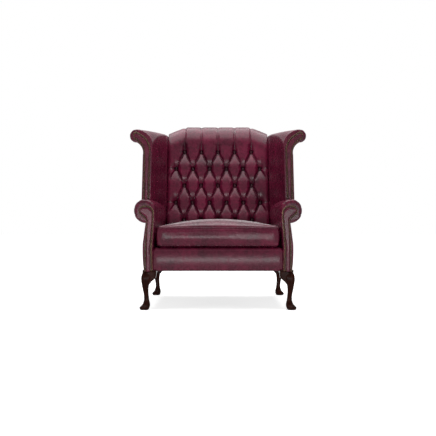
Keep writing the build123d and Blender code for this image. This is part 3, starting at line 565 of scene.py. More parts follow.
def tufted_back(step):
    half = IN_BACK - SIDE_GAP
    rings, tones = [], []
    for x in np.linspace(-half, half, round(2 * half / step) + 1):
        rows, tail = back_loop(x, step)
        y, z, angle, up = rows.T
        h, tone = tufting(np.full(len(up), x), up)
        turned = smooth((up - TUFTS_END) / TUFTS_FADE)
        h = h * mix(1.0, TUFTS_LEFT, turned)
        at_side = np.clip((abs(x) - (half - SIDE_ROUND)) / SIDE_ROUND, 0, 1)
        fade = mix(1.0, SIDE_LEFT, smooth((up - SIDE_FADE_FROM) / SIDE_FADE))
        h = h - SIDE_DROP * drawn_in(at_side) * fade
        skin = np.column_stack([y - h * np.cos(angle), z + h * np.sin(angle)])
        ring = np.concatenate([skin, tail])
        rings.append(np.column_stack([np.full(len(ring), x), ring]))
        tones.append(np.concatenate([mix(tone, 1.0, turned), np.ones(len(tail))]))
    obj = loft("tufted_back", rings)
    set_painted_shade(obj, np.concatenate(tones))
    return obj


back = tufted_back(0.0027)
# The back in the leather with the painted highlight on what faces up
finish(back, TOP_SHEEN_LEATHER)
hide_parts("back_pad")


# Front rims and gathers of the arms and wings

RIM_RINGS, RIM_DEPTH, RIM_INSET = 7, 0.011, 0.009


def rim_steps():
    """Depth behind the face and inset of the rings that round a front rim."""
    turns = [math.pi / 2 * k / RIM_RINGS for k in range(RIM_RINGS + 1)]
    return [(RIM_DEPTH * (1 - math.cos(a)), RIM_INSET * (1 - math.sin(a))) for a in turns]


def gathers(x, z, centre, angles, width):
    """Direction from centre to each point, and how near it is to one of the gathers, up to 1."""
    angle = np.arctan2(z - centre[1], x - centre[0])
    return np.cos(angle), np.sin(angle), sum(bell((angle - middle) / width) for middle in angles)


# Arms

ROLL_X = (IN_FRONT + ARM_OUT) / 2
LINING_OUT, LINING_BEND = 0.013, 0.5
ARM_NECK, ARM_STEM, ARM_BELLY, ARM_HEEL_X = (0.398, 0.474), (0.413, 0.362), (0.4135, 0.289), 0.408
ARM_OUT_CREASE, ARM_END_Y = 0.4492, 0.445
ARM_STATIONS, STATION_CURVE = 46, 1.3
ARM_GATHERS, ARM_GATHER_WIDTH = (-1.15, -0.45, 0.25, 0.95, 1.65, 2.35), 0.075
GATHER_AT, GATHER_RUN, ARM_GATHER, ARM_GATHER_SHADE = 0.004, 0.022, 0.0022, 0.6
ROLL_LOW, ROLL_INNER = 0.486, 0.36
ROLL_ROUND, ROLL_DROP, ROLL_FROM, ROLL_FADE = 0.028, 0.012, 0.50, 0.04
BOARD_Z, BOARD_INNER, BOARD_SKIN, BOARD_END_Y, BOARD_FADE = (0.487, 0.516), 0.405, 0.4302, 0.300, 0.012
ARM_PUFF = 0.0035


def arm_outline(inset):
    """Points (x, z) round an arm, from the foot of its lining over the roll to its heel."""
    i, o, top = IN_FRONT + inset, ARM_OUT - inset, ARM_TOP - inset
    foot, hip, lean, side = (i + LINING_OUT, LEG), (i + LINING_OUT, DECK), (i, LINING_BEND), (i, ARM_ROLL)
    crown, out = (ROLL_X, top), (o, ARM_ROLL)
    neck, stem = (ARM_NECK[0] - inset, ARM_NECK[1] + inset), (ARM_STEM[0] - inset, ARM_STEM[1])
    belly, heel = (ARM_BELLY[0] - inset, ARM_BELLY[1]), (ARM_HEEL_X - inset, LEG)
    pts = path((foot, hip, lean, side), (8, 12, 4))
    pts += turn(side, crown, (i, top), 20) + turn(crown, out, (o, top), 20)
    pts += turn(out, neck, (o, neck[1]), 24) + line(neck, stem, 10)
    pts += arc(stem, belly, heel, 12) + line(heel, foot, 6)
    return np.array(pts)


def arm_body():
    rings, tones = [], []
    stations = [(depth, inset, 0.0) for depth, inset in rim_steps()]
    stations += [(RIM_DEPTH, 0.0, ((k + 1) / ARM_STATIONS) ** STATION_CURVE) for k in range(ARM_STATIONS)]
    for depth, inset, share in stations:
        y0 = FRAME_Y + depth
        base_x, base_z = arm_outline(inset).T
        y = y0 + (back_y(base_z) - COVER - y0) * share
        s = np.clip((y - FRAME_Y) / (CREASE_Y - FRAME_Y), 0, 1)
        t = np.clip((y - CREASE_Y) / (ARM_END_Y - CREASE_Y), 0, 1)
        inner = mix(IN_FRONT, IN_BACK, s)
        outer = np.where(y < CREASE_Y, mix(ARM_OUT, ARM_OUT_CREASE, s), mix(ARM_OUT_CREASE, ARM_OUT_BACK, t))
        across = smooth((base_x - IN_FRONT) / (ARM_OUT - IN_FRONT))
        x = base_x + (inner - IN_FRONT) * (1 - across)
        x = x + (outer - ARM_OUT) * across * (base_z > ARM_NECK[1])
        nx, nz, gather = gathers(x, base_z, (ROLL_X, ARM_ROLL), ARM_GATHERS, ARM_GATHER_WIDTH)
        on_roll = (base_z > ROLL_LOW) & (x > ROLL_INNER) | (base_z > ARM_ROLL)
        gather = gather * on_roll * bell((y - FRAME_Y - GATHER_AT) / GATHER_RUN)
        behind = np.clip((y - FRAME_Y) / ROLL_ROUND, 0, 1)
        turned = ROLL_DROP * drawn_in(1 - behind) * smooth((base_z - ROLL_FROM) / ROLL_FADE)
        turned = turned + ARM_GATHER * gather
        x, z = x - nx * turned, base_z - nz * turned
        over_board = (z > BOARD_Z[0]) & (z < BOARD_Z[1]) & (x > BOARD_INNER)
        skin = np.maximum(x, mix(x, BOARD_SKIN, smooth((BOARD_END_Y - y) / BOARD_FADE)))
        x = np.where(over_board, skin, x)
        up_lining = np.clip((base_z - DECK) / (ARM_ROLL - DECK), 0, 1)
        puff = np.sin(up_lining * math.pi) * (base_x < ROLL_INNER)
        x = x - ARM_PUFF * puff * smooth(share * 6) * (1 - smooth((share - 0.55) / 0.1))
        rings.append(np.column_stack([x, y, z]))
        # Painted shade in the gathers round the front of the roll
        tones.append(1 - ARM_GATHER_SHADE * gather)
    obj = loft("right_arm_body", rings)
    set_painted_shade(obj, np.concatenate(tones))
    return obj


# Wings. A pair down to LINING_DROP is a value at the crease beside the back, then at the front rim

WING_RIM = 0.010
LINING_X, SIDE_X, FOOT_X = (IN_BACK, WING_IN), (0.3940, 0.437), (0.3940, 0.446)
CREST_X, TIP_X, UNDER_X, BEND_X = (0.341, 0.472), (0.394, WING_OUT), (0.393, 0.476), (0.392, 0.472)
TIP_Z, UNDER_Z, BEND_Z, NECK_Z = (1.010, 0.980), (0.985, 0.940), 0.975, (0.960, 0.868)
LINING_DROP, FOOT_SPREAD = (0.012, 0.092), 0.009
WING_BACK_Z, WING_FALL, WING_FALL_CURVE, WING_FALL_FROM, WING_FALL_RUN = 1.048, 0.031, 1.7, 0.30, 0.50
RAIL_START_Y, RAIL_RUN, RAIL_SKIN_X = -0.179, 0.5325, (0.4325, 0.3865)  # at the rail's front, then its rear
OUTER_INSET_SHARE = 0.4
WING_COUNTS = (34, 22, 14, 14, 3, 10, 30, 6)
WING_STATIONS, SEAM_GAP = 44, 0.0015
WING_PUFF = 0.006
WING_ROLL, WING_GATHERS, WING_GATHER_WIDTH = (0.472, 0.980), (-0.9, -0.15, 0.6, 1.35), 0.09
WING_GATHER_RUN, WING_GATHER, WING_GATHER_SHADE, WING_GATHER_FROM = 0.02, 0.0012, 0.45, (0.455, 0.935)
PANEL_THICK, PANEL_EDGE, WING_PANEL_PROUD, ARM_PANEL_PROUD = 0.003, 0.0015, 0.0016, 0.0018
PANEL_START, PANEL_TOP, PANEL_ROWS = 0.012, 1, 26


def wing_points(y, inset):
    """Points (x, z) round a wing at depth y, up its lining, over the scroll and down its outside."""
    reach = clamp((CREASE_Y - y) / (CREASE_Y - WING_FRAME_Y - WING_RIM))
    f = reach ** 2
    thin = OUTER_INSET_SHARE * inset
    inner = mix(*LINING_X, reach) + inset
    ahead = clamp((WING_FALL_FROM - y) / WING_FALL_RUN)
    top_z = WING_BACK_Z - WING_FALL * (1 - (1 - ahead) ** WING_FALL_CURVE) - inset
    side = max(mix(*SIDE_X, reach), mix(*RAIL_SKIN_X, clamp((y - RAIL_START_Y) / RAIL_RUN)))
    foot_in = (inner + FOOT_SPREAD * reach, ARM_ROLL)
    lining = (inner, top_z + inset - mix(*LINING_DROP, f ** 2))
    crest = (mix(*CREST_X, mix(reach, f, 0.6)), top_z)
    tip = (max(mix(*TIP_X, f), side + 0.004) - inset, mix(*TIP_Z, f))
    under = (max(mix(*UNDER_X, f), side + 0.0025), mix(*UNDER_Z, f) + thin)
    neck = (side - thin, mix(*NECK_Z, f))
    bend = (max(mix(*BEND_X, f), neck[0] + 0.0005), mix(BEND_Z, mix(*UNDER_Z, f), f) + thin)
    foot_out = (max(mix(*FOOT_X, reach), side) - thin, ARM_ROLL)
    c = WING_COUNTS
    pts = line(foot_in, lining, c[0])
    pts += turn(lining, crest, (lining[0], crest[1]), c[1])
    pts += turn(crest, tip, (tip[0], crest[1]), c[2])
    pts += turn(tip, under, (tip[0], under[1]), c[3])
    pts += line(under, bend, c[4])
    pts += turn(bend, neck, (neck[0], bend[1]), c[5])
    return pts + line(neck, foot_out, c[6]) + line(foot_out, foot_in, c[7])


def wing_ring(depth, inset, share):
    """One ring of a wing. Its points lean back with the outside back as share goes to 1."""
    y0 = WING_FRAME_Y + depth
    ring = []
    for index, (x, z) in enumerate(wing_points(y0, inset)):
        for _ in range(2):
            y = y0 + (float(back_y(z)) - SEAM_GAP - y0) * share
            x, z = wing_points(y, inset)[index]
        ring.append((x, y, z))
    return np.array(ring)


def wing_body():
    """The wing's leather, and the rings that its outside panel lies on."""
    rings = [wing_ring(depth, inset, 0.0) for depth, inset in rim_steps()]
    rings += [wing_ring(RIM_DEPTH, 0.0, (k + 1) / WING_STATIONS) for k in range(WING_STATIONS)]
    on_lining = np.zeros(sum(WING_COUNTS))
    lined = WING_COUNTS[0] + 1
    on_lining[:lined] = np.sin(np.linspace(0.25, 1, lined) * math.pi)
    skins, tones = [], []
    for k, ring in enumerate(rings):
        x, y, z = ring.T
        share = max(k - RIM_RINGS, 0) / WING_STATIONS
        x = x - WING_PUFF * on_lining * smooth(share * 5) * (1 - smooth((share - 0.5) / 0.15))
        nx, nz, gather = gathers(x, z, WING_ROLL, WING_GATHERS, WING_GATHER_WIDTH)
        on_roll = (x > WING_GATHER_FROM[0]) & (z > WING_GATHER_FROM[1])
        gather = gather * on_roll * bell((y - WING_FRAME_Y - GATHER_AT) / WING_GATHER_RUN)
        skins.append(np.column_stack([x - nx * WING_GATHER * gather, y, z - nz * WING_GATHER * gather]))
        # Painted shade in the gathers round the scroll
        tones.append(1 - WING_GATHER_SHADE * gather)
    obj = loft("right_wing_body", skins)
    set_painted_shade(obj, np.concatenate(tones))
    return obj, rings


def wing_panel(rings):
    """The outside wing, on the outer face of the wing's rings."""
    first = sum(WING_COUNTS[:6]) + PANEL_TOP
    grid = np.array([ring[first:first + PANEL_ROWS] for ring in rings])
    grid[:, :, 0] += WING_PANEL_PROUD
    return slab("right_wing_outer", grid, (-1, 0, 0), PANEL_THICK, PANEL_EDGE)


def arm_panel():
    """The outside arm, from under the roll to the edge of the seat rail."""
    edge = line(ARM_NECK, ARM_STEM, 16) + arc(ARM_STEM, ARM_BELLY, (ARM_HEEL_X, LEG - 0.001), 20)
    grid = []
    for share in np.linspace(0, 1, 40):
        ends = [mix(FRAME_Y + PANEL_START, float(back_y(z)) - COVER, share) for _, z in edge]
        grid.append([(x + ARM_PANEL_PROUD, y, z) for (x, z), y in zip(edge, ends)])
    return slab("right_arm_outer", grid, (-1, 0, 0), PANEL_THICK, PANEL_EDGE)


arm = arm_body()
wing, wing_rings = wing_body()
wing_side = wing_panel(wing_rings[RIM_RINGS + 1:])
arm_side = arm_panel()


# Nailed facings. An outline has its start, then the end of each line, or the middle and end of each arc.
# Points are shares of the arm's or wing's width and height, and None is the facing's foot

ARM_FACING_SHARES = [
    [(0.126, None)], [(0.160, 0.331)], [(0.113, 0.536), (0.067, 0.728)], [(0.067, 0.792)],
    [(0.160, 0.882), (0.437, 0.910)], [(0.672, 0.890), (0.756, 0.838)],
    [(0.731, 0.797), (0.639, 0.767)], [(0.487, 0.726)], [(0.420, 0.692), (0.403, 0.646)],
    [(0.454, 0.472), (0.487, 0.292)], [(0.513, None)],
]
WING_FACING_SHARES = [
    [(0.150, 0.0)], [(0.094, 0.705)], [(0.170, 0.838), (0.361, 0.905)], [(0.620, 0.952)],
    [(0.800, 0.955), (0.835, 0.903)], [(0.795, 0.872), (0.692, 0.854)], [(0.500, 0.805)],
    [(0.415, 0.760), (0.383, 0.700)], [(0.428, 0.0)],
]
RUN_STEPS = 24
FACING_THICK, FACING_EDGE, FACING_FOOT_DROP = 0.009, 0.0008, 0.006
FACING_RUNGS, FACING_RIBS, FACING_END = 110, 21, 8
RAISED_RUN, STITCH, STITCH_WIDTH, STITCH_SHADE = 0.007, 0.0008, 0.0022, 0.5
EDGE_ROLL, EDGE_ROLL_WIDTH = 0.0018, 0.0022
NAIL_BED_AT, NAIL_BED_WIDTH, NAIL_BED_SHADE = 0.0055, 0.0040, 0.9


def arm_place(p):
    z = LEG - FACING_FOOT_DROP if p[1] is None else LEG + p[1] * (ARM_TOP - LEG)
    return (IN_FRONT + p[0] * (ARM_OUT - IN_FRONT), z)


def wing_place(p):
    return (WING_IN + p[0] * (WING_OUT - WING_IN), ARM_ROLL + p[1] * (WING_TOP - ARM_ROLL))


def trace(shares, place):
    """Points round an outline, RUN_STEPS to a line or arc."""
    pts, at = [], place(shares[0][0])
    for run in shares[1:]:
        spots = [at] + [place(p) for p in run]
        pts += (line if len(run) == 1 else arc)(*spots, RUN_STEPS)
        at = spots[-1]
    return np.array(pts + [at])


def along(points):
    """The outline again, with evenly spaced points."""
    gaps = np.hypot(*np.diff(points, axis=0).T)
    run = np.concatenate([[0], np.cumsum(gaps)])
    at = np.linspace(0, run[-1], FACING_RUNGS)
    return np.column_stack([np.interp(at, run, points[:, 0]), np.interp(at, run, points[:, 1])])


def facing(name, shares, half, place, y, band, rise):
    """A leather covered panel, raised inside its band of nails, with painted shade along its sunken stitch
    line and its nail rows. half counts the runs up its first side.
    """
    outline, middle = trace(shares, place), half * RUN_STEPS
    a, b = along(outline[:middle + 1]), along(outline[middle:][::-1])
    grid, tones = [], []
    for i in range(FACING_RUNGS):
        width = float(np.hypot(*(b[i] - a[i])))
        row = []
        for v in np.linspace(0, 1, FACING_RIBS):
            x, z = mix(a[i], b[i], v)
            edge = min(v, 1 - v) * width
            ends = min(1.0, (FACING_RUNGS - 1 - i) / FACING_END)
            lift = rise * smooth((edge - band) / RAISED_RUN) * smooth(ends)
            stitch = bell((edge - band) / STITCH_WIDTH) if width > 2 * band else 0.0
            roll = EDGE_ROLL * bell(edge / EDGE_ROLL_WIDTH)
            row.append((x, y - lift + STITCH * stitch + roll, z))
            # Painted shade in the stitch line and between the nails of the nail bed
            bed = bell((edge - NAIL_BED_AT) / NAIL_BED_WIDTH)
            tones.append(max(0.0, 1 - STITCH_SHADE * stitch - NAIL_BED_SHADE * bed))
        grid.append(row)
    obj = slab(name, grid, (0, 1, 0), FACING_THICK, FACING_EDGE)
    set_painted_shade(obj, tones + tones)
    return obj


arm_face = facing("right_arm_front", ARM_FACING_SHARES, 5, arm_place, FACING_Y, 0.0115, 0.0045)
wing_face = facing("right_wing_front", WING_FACING_SHARES, 4, wing_place, WING_Y, 0.0110, 0.0035)

for piece, node, fill in (
    (arm, "arm_pad", 0.9), (wing, "wing_pad", 0.9), (wing_side, "outside_wing", 0.95),
    (arm_side, "outside_arm", 0.95), (arm_face, "arm_facing", 0.9), (wing_face, "wing_facing", 0.9),
):
    for side, obj in both_sides(piece):
        finish(obj, LEATHER)
        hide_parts(f"{side}_{node}")


# Front border

BORDER_HALF, BORDER_END, BORDER_END_DROP = 0.356, 0.022, 0.010
BORDER_DROP, BORDER_ROUND, BORDER_BACK_Y = 0.005, 0.018, -0.331
BORDER_BELLY, BORDER_SET_BACK, BORDER_TUCK, BORDER_TUCK_RUN = 0.0075, 0.0045, 0.004, 0.004


def front_border():
    half, y0, bottom = BORDER_HALF, BORDER_Y + BORDER_SET_BACK, LEG - BORDER_DROP
    ends = np.linspace(half - 0.02, half, 6)
    rings = []
    for x in np.concatenate([-ends[::-1], np.linspace(-half + 0.03, half - 0.03, 60), ends]):
        end = max(0.0, (abs(x) - (half - BORDER_END)) / BORDER_END)
        top = DECK - BORDER_END_DROP * end ** 2
        edge = top - BORDER_ROUND
        pts = []
        for i in range(30):
            z = mix(bottom, edge, i / 30)
            belly = BORDER_BELLY * math.sin(math.pi * i / 30) ** 0.8 * (1 - 0.5 * end)
            pts.append((y0 - belly + BORDER_TUCK * bell((z - bottom) / BORDER_TUCK_RUN), z))
        pts += turn((y0, edge), (y0 + BORDER_ROUND, top), (y0, top), 10)
        corners = [(y0 + BORDER_ROUND, top), (BORDER_BACK_Y, top), (BORDER_BACK_Y, PAD_FOOT)]
        corners += [(RAIL_Y, PAD_FOOT), (RAIL_Y, bottom), pts[0]]
        pts += path(corners, (6, 3, 3, 6, 2))
        rings.append([(x, y, z) for y, z in pts])
    obj = loft("front_border_cover", rings)
    set_painted_shade(obj, 1.0)
    return obj


border = finish(front_border(), LEATHER)
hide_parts("front_border")


# Seat deck and dust cover

DECK_BACK_Y, DECK_SPREAD, DECK_SAG, DECK_THICK, DECK_EDGE = 0.118, 0.011, 0.004, 0.026, 0.002
DUST_LOW, DUST_HIGH, DUST_SAG, DUST_GAP, DUST_THICK = (-0.390, -0.371), (0.390, 0.235), 0.0035, 0.0003, 0.0009
CORNER_X, CORNER_FRONT_Y, CORNER_REAR_Y = 0.336, -0.331, 0.182


def deck_cover():
    rows = []
    for k in range(40):
        y = mix(BORDER_BACK_Y, DECK_BACK_Y, k / 39)
        half = mix(IN_FRONT, IN_BACK, (y - FACING_Y) / (CREASE_Y - FACING_Y)) + DECK_SPREAD
        row = []
        for u in np.linspace(-1, 1, 60):
            sag = DECK_SAG * (1 - u * u) * math.sin(math.pi * (k + 1) / 41)
            row.append((u * half, y, DECK - sag))
        rows.append(row)
    obj = slab("seat_platform", rows, (0, 0, -1), DECK_THICK, DECK_EDGE)
    set_painted_shade(obj, 1.0)
    return obj


deck = finish(deck_cover(), LEATHER)
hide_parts("seat_deck")


def dust_sheet():
    """The cambric under the seat, with its corners cut out round the legs."""
    rows = []
    for v in np.linspace(0, 1, 44):
        row = []
        for u in np.linspace(0, 1, 56):
            sag = DUST_SAG * math.sin(math.pi * v) * math.sin(math.pi * u)
            x, y = mix(DUST_LOW[0], DUST_HIGH[0], u), mix(DUST_LOW[1], DUST_HIGH[1], v)
            row.append((x, y, LEG - DUST_GAP - sag))
        rows.append(row)
    obj = slab("dust_sheet", rows, (0, 0, 1), DUST_THICK, 0.0)
    with edited(obj.data) as bm:
        gone = []
        for face in bm.faces:
            c = face.calc_center_median()
            if abs(c.x) > CORNER_X and (c.y < CORNER_FRONT_Y or c.y > CORNER_REAR_Y):
                gone.append(face)
        bmesh.ops.delete(bm, geom=gone, context="FACES")
        bmesh.ops.holes_fill(bm, edges=[e for e in bm.edges if e.is_boundary], sides=0)
        bmesh.ops.recalc_face_normals(bm, faces=bm.faces)
    return obj


dust = finish(dust_sheet(), CAMBRIC)
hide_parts("dust_cover")


# Outside back

REAR_HALF, REAR_LOW, REAR_HIGH, REAR_CREST_GAP, REAR_CORNER = (0.4075, 0.394), 0.001, 1.059, 0.0405, 1.0
REAR_BULGE, REAR_GAP, REAR_EDGE = 0.0045, 0.0005, 0.0022


def outside_back():
    rows = []
    for v in np.linspace(0, 1, 61):
        low = LEG + REAR_LOW
        half = float(np.interp(mix(low, REAR_HIGH, v), [ARM_NECK[1], ARM_TOP], REAR_HALF))
        row = []
        for u in np.linspace(-1, 1, 71):
            x = u * half
            cap = float(crest_z(min(abs(x), IN_BACK))) - REAR_CREST_GAP
            if abs(x) > IN_BACK:
                cap = mix(cap, REAR_CORNER, (abs(x) - IN_BACK) / (REAR_HALF[1] - IN_BACK))
            z = mix(low, cap, v)
            bulge = REAR_BULGE * (1 - abs(u) ** 3) * math.sin(math.pi * min(max(v, 0.02), 0.98)) ** 0.6
            row.append((x, float(back_y(z)) - REAR_GAP + bulge, z))
        rows.append(row)
    obj = slab("outside_back_cover", rows, (0, -1, 0), COVER, REAR_EDGE)
    set_painted_shade(obj, 1.0)
    return obj


rear = finish(outside_back(), LEATHER)
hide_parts("outside_back")


# Seat cushion

CUSHION, CUSHION_GAP, CUSHION_CROWN, CUSHION_ROUND = 0.117, 0.002, 0.037, 0.015
CUSHION_FRONT, CUSHION_REAR, CUSHION_SIDE, CUSHION_WAIST, CUSHION_BULGE = 0.010, 0.008, 0.006, 0.004, 0.004
FRONT_ROUND, FRONT_INSET, REAR_ROUND, REAR_INSET = 0.022, 0.012, 0.018, 0.010
CLOTH_VOXEL, CLOTH_CAP, CLOTH_FRAMES = 0.006, 0.0025, 20
CLOTH = {
    "quality": 4, "use_pressure": True, "uniform_pressure_force": 2.0,
    "tension_stiffness": 12, "compression_stiffness": 12, "bending_stiffness": 1.2,
}
PLUMP, PLUMP_START, PLUMP_RUN, PLUMP_MIDDLE, PLUMP_REACH = 0.0095, 0.030, 0.018, 0.059, 0.060
CREASE, TOP_CREASE = 0.0008, 0.0011
SEAM, SEAM_WIDTH, SEAM_SHADE, SEAM_LOW, SEAM_HIGH = 0.0022, 0.0032, 0.8, 0.010, 0.008
SEAM_SIDE_X, SEAM_END = 0.30, 0.045
WELT, WELT_PROUD, WELT_TOP, WELT_LOW = 0.0028, 0.0006, 0.109, 0.013
WELT_FRONT, WELT_REAR, WELT_SIDES, WELT_CORNER = 0.008, 0.006, (0.006, 0.008), 0.022


def cushion_form():
    front, rear_edge, r = FACING_Y + CUSHION_FRONT, float(lean_y(DECK)) - CUSHION_REAR, CUSHION_ROUND
    rings = []
    for k in range(49):
        s = 0.5 - 0.5 * math.cos(math.pi * k / 48)
        y = mix(front, rear_edge, s)
        inset = FRONT_INSET * float(drawn_in(clamp(1 - (y - front) / FRONT_ROUND)))
        inset += REAR_INSET * float(drawn_in(clamp(1 - (rear_edge - y) / REAR_ROUND)))
        half = mix(IN_FRONT, IN_BACK, s) - CUSHION_SIDE - inset - CUSHION_WAIST * math.sin(math.pi * s)
        low = DECK + CUSHION_GAP + inset / 2
        high = DECK + CUSHION - inset / 2
        middle = (low + high) / 2
        crown = CUSHION_CROWN * min(1.0, math.sin(math.pi * s) ** 0.6 * 1.05 + 0.12)
        side = turn((half - r, low), (half, low + r), (half, low), 5)
        side += arc((half, low + r), (half + CUSHION_BULGE, middle), (half, high - r), 12)
        side += turn((half, high - r), (half - r, high), (half, high), 5) + [(half - r, high)]
        other = [(-x, z) for x, z in reversed(side)]
        pts = line(other[-1], side[0], 30) + side[:-1]
        pts += arc(side[-1], (0, high + crown), other[0], 40) + other[:-1]
        rings.append([(x, y, z) for x, z in pts])
    return loft("seat_cushion", rings)


def puffed(obj):
    """The piece filled out as a cloth bag under a little pressure, moved by at most CLOTH_CAP."""
    modified(obj, "REMESH", mode="VOXEL", voxel_size=CLOTH_VOXEL)
    start = coords(obj)
    cloth = obj.modifiers.new("cloth", "CLOTH")
    for key, value in CLOTH.items():
        setattr(cloth.settings, key, value)
    cloth.settings.effector_weights.gravity = 0
    cloth.collision_settings.use_collision = False
    scene = bpy.context.scene
    for number in range(1, CLOTH_FRAMES + 1):
        scene.frame_set(number)
    applied(obj)
    scene.frame_set(1)
    move = coords(obj) - start
    length = np.linalg.norm(move, axis=1, keepdims=True)
    set_coords(obj, start + move * np.minimum(1, CLOTH_CAP / np.maximum(length, 1e-9)))


def plumped(obj):
    """Rounds the front of the cushion out, with a few long creases."""
    middle = DECK + PLUMP_MIDDLE
    for v in obj.data.vertices:
        x, y, z = v.co
        up = (z - middle) / PLUMP_REACH
        in_front = smooth((FACING_Y + PLUMP_START - y) / PLUMP_RUN) * max(0.0, 1 - up * up)
        crease = CREASE * noise.noise(Vector((x * 5.0, 3.7, z * 42.0)))
        v.co.y = y - in_front * (PLUMP * (1 - (abs(x) / IN_FRONT) ** 6) + crease)
        v.co.z = z + TOP_CREASE * noise.noise(Vector((x * 9.0, y * 14.0, 1.3))) * smooth((z - middle) / 0.05)


def seam_lines(obj):
    """Sinks the sewn seams round the top and bottom edges, and darkens them with painted shade."""
    co = coords(obj)
    seams = (co[:, 2].min() + SEAM_LOW, DECK + CUSHION - SEAM_HIGH)
    mid = np.array([0.0, (FACING_Y + lean_y(DECK)) / 2, 0.0])
    tone = np.ones(len(co))
    side = np.abs(co[:, 0]) > SEAM_SIDE_X
    side |= (co[:, 1] < FACING_Y + SEAM_END) | (co[:, 1] > lean_y(DECK) - SEAM_END)
    for z in seams:
        near = bell((co[:, 2] - z) / SEAM_WIDTH) * side
        out = (co - mid) * (1, 1, 0)
        out /= np.linalg.norm(out, axis=1, keepdims=True) + 1e-9
        co = co - out * (SEAM * near)[:, None]
        # Painted shade in the seams
        tone = np.minimum(tone, 1 - SEAM_SHADE * near)
    set_coords(obj, co)
    set_painted_shade(obj, tone)


cushion = cushion_form()
puffed(cushion)
modified(cushion, "SUBSURF", levels=1, render_levels=1)
plumped(cushion)
seam_lines(cushion)
shade_smooth(cushion)
# The cushion in the leather with the painted highlight on what faces up
finish(cushion, TOP_SHEEN_LEATHER, "seat_cushion")
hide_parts("cushion_cover", "cushion_core")


def cushion_edges(z):
    """Points round the cushion's plan at height z, close to its sides."""
    front, rear_edge = FACING_Y + WELT_FRONT, float(lean_y(DECK)) - WELT_REAR
    hf, hb, r = IN_FRONT - WELT_SIDES[0], IN_BACK - WELT_SIDES[1], WELT_CORNER
    corners = [(-hf, front), (hf, front), (hb, rear_edge), (-hb, rear_edge)]
    pts = []
    for i, b in enumerate(corners):
        a, c = corners[i - 1], corners[(i + 1) % 4]
        before, after = r / math.dist(a, b), r / math.dist(b, c)
        p = (mix(b[0], a[0], before), mix(b[1], a[1], before))
        q = (mix(b[0], c[0], after), mix(b[1], c[1], after))
        pts += turn(p, q, b, 8)
        pts += line(q, (mix(c[0], b[0], after), mix(c[1], b[1], after)), 60)
    return [(x, y, z) for x, y in pts]


def welt(name, z):
    """A sewn welt round the cushion, laid on its surface."""
    pts = []
    for point in cushion_edges(z):
        _, place, normal, _ = cushion.closest_point_on_mesh(Vector(point))
        pts.append(tuple(place + normal * WELT_PROUD))
    pts = np.array(pts)
    for _ in range(3):
        pts = (np.roll(pts, 1, 0) + pts * 2 + np.roll(pts, -1, 0)) / 4
    obj = tube(name, pts, WELT)
    set_painted_shade(obj, 1.0)
    return finish(obj, LEATHER, "seat_cushion")


welt("cushion_top_welt", DECK + WELT_TOP)
welt("cushion_low_welt", DECK + WELT_LOW)


# Cabriole legs. The curves are shares of the leg's height and of its width at the knee

HEIGHT_SHARES = (0, 0.025, 0.06, 0.09, 0.13, 0.19, 0.25, 0.35, 0.44, 0.53, 0.64, 0.73, 0.82, 0.91, 1.0)
INNER_SHARES = (0.47, 0.53, 0.585, 0.60, 0.62, 0.57, 0.52, 0.48, 0.465, 0.47, 0.53, 0.65, 0.72, 0.76, 0.79)
OUTER_SHARES = (0.29, 0.35, 0.38, 0.27, 0.12, 0.02, -0.03, -0.02, 0.03, 0.10, 0.17, 0.22, 0.22, 0.14, 0.0)
EAR_RUN_SHARES = (0.30, 0.48, 0.62, 0.85, 0.97, 1.0)
EAR_DROP_SHARES = (1.0, 0.86, 0.73, 0.57, 0.46, 0.30)
EAR_PROUD_SHARES = (0.38, 0.40, 0.36, 0.22, 0.10, 0.0)
HEEL_X, KNEE = 0.408, 0.058
EAR_RUN, EAR_PROUD, EAR_DROP, EAR_IN, LEG_CAP = 0.070, 0.022, 0.0864, 0.026, 0.016
FOOT_POWER, KNEE_POWER = 2.6, 4.5
LEG_VOXEL, LEG_SMOOTHING, LEG_TOP_EDGE = 0.0022, 7, 0.006


def eased(at, xs, ys):
    """Value of the smooth curve through the points (xs, ys)."""
    def slope(k):
        if k == 0 or k == len(xs) - 1:
            return 0.0
        return (ys[k + 1] - ys[k - 1]) / (xs[k + 1] - xs[k - 1])
    i = min(max(int(np.searchsorted(xs, at, side="right")) - 1, 0), len(xs) - 2)
    d = xs[i + 1] - xs[i]
    s = (at - xs[i]) / d
    value = (2 * s**3 - 3 * s**2 + 1) * ys[i] + (3 * s**2 - 2 * s**3) * ys[i + 1]
    return value + (s**3 - 2 * s**2 + s) * slope(i) * d + (s**3 - s**2) * slope(i + 1) * d


def box_mesh(name, low, high):
    (x0, y0, z0), (x1, y1, z1) = low, high
    corners = [(x, y, z) for z in (z0, z1) for x, y in ((x0, y0), (x1, y0), (x1, y1), (x0, y1))]
    faces = [(0, 1, 2, 3), (4, 7, 6, 5), (0, 4, 5, 1), (1, 5, 6, 2), (2, 6, 7, 3), (3, 7, 4, 0)]
    return make(name, corners, faces)


def leg_stem(name, front_y, away):
    """The leg itself, from its foot to its square knee."""
    rings = []
    for h in np.linspace(0, 1, 81):
        inner, outer = (eased(h, HEIGHT_SHARES, shares) * KNEE for shares in (INNER_SHARES, OUTER_SHARES))
        side, centre = (inner + outer) / 2, (outer - inner) / 2
        power = 2 / mix(FOOT_POWER, KNEE_POWER, smooth((h - 0.55) / 0.3))
        ring = []
        for a in np.arange(64) * 2 * math.pi / 64:
            c, s = math.cos(a), math.sin(a)
            px, py = math.copysign(abs(c) ** power, c) * side, math.copysign(abs(s) ** power, s) * side
            ring.append((HEEL_X + centre + px, front_y - away * centre + py, h * LEG))
        rings.append(ring)
    return loft(name, rings)


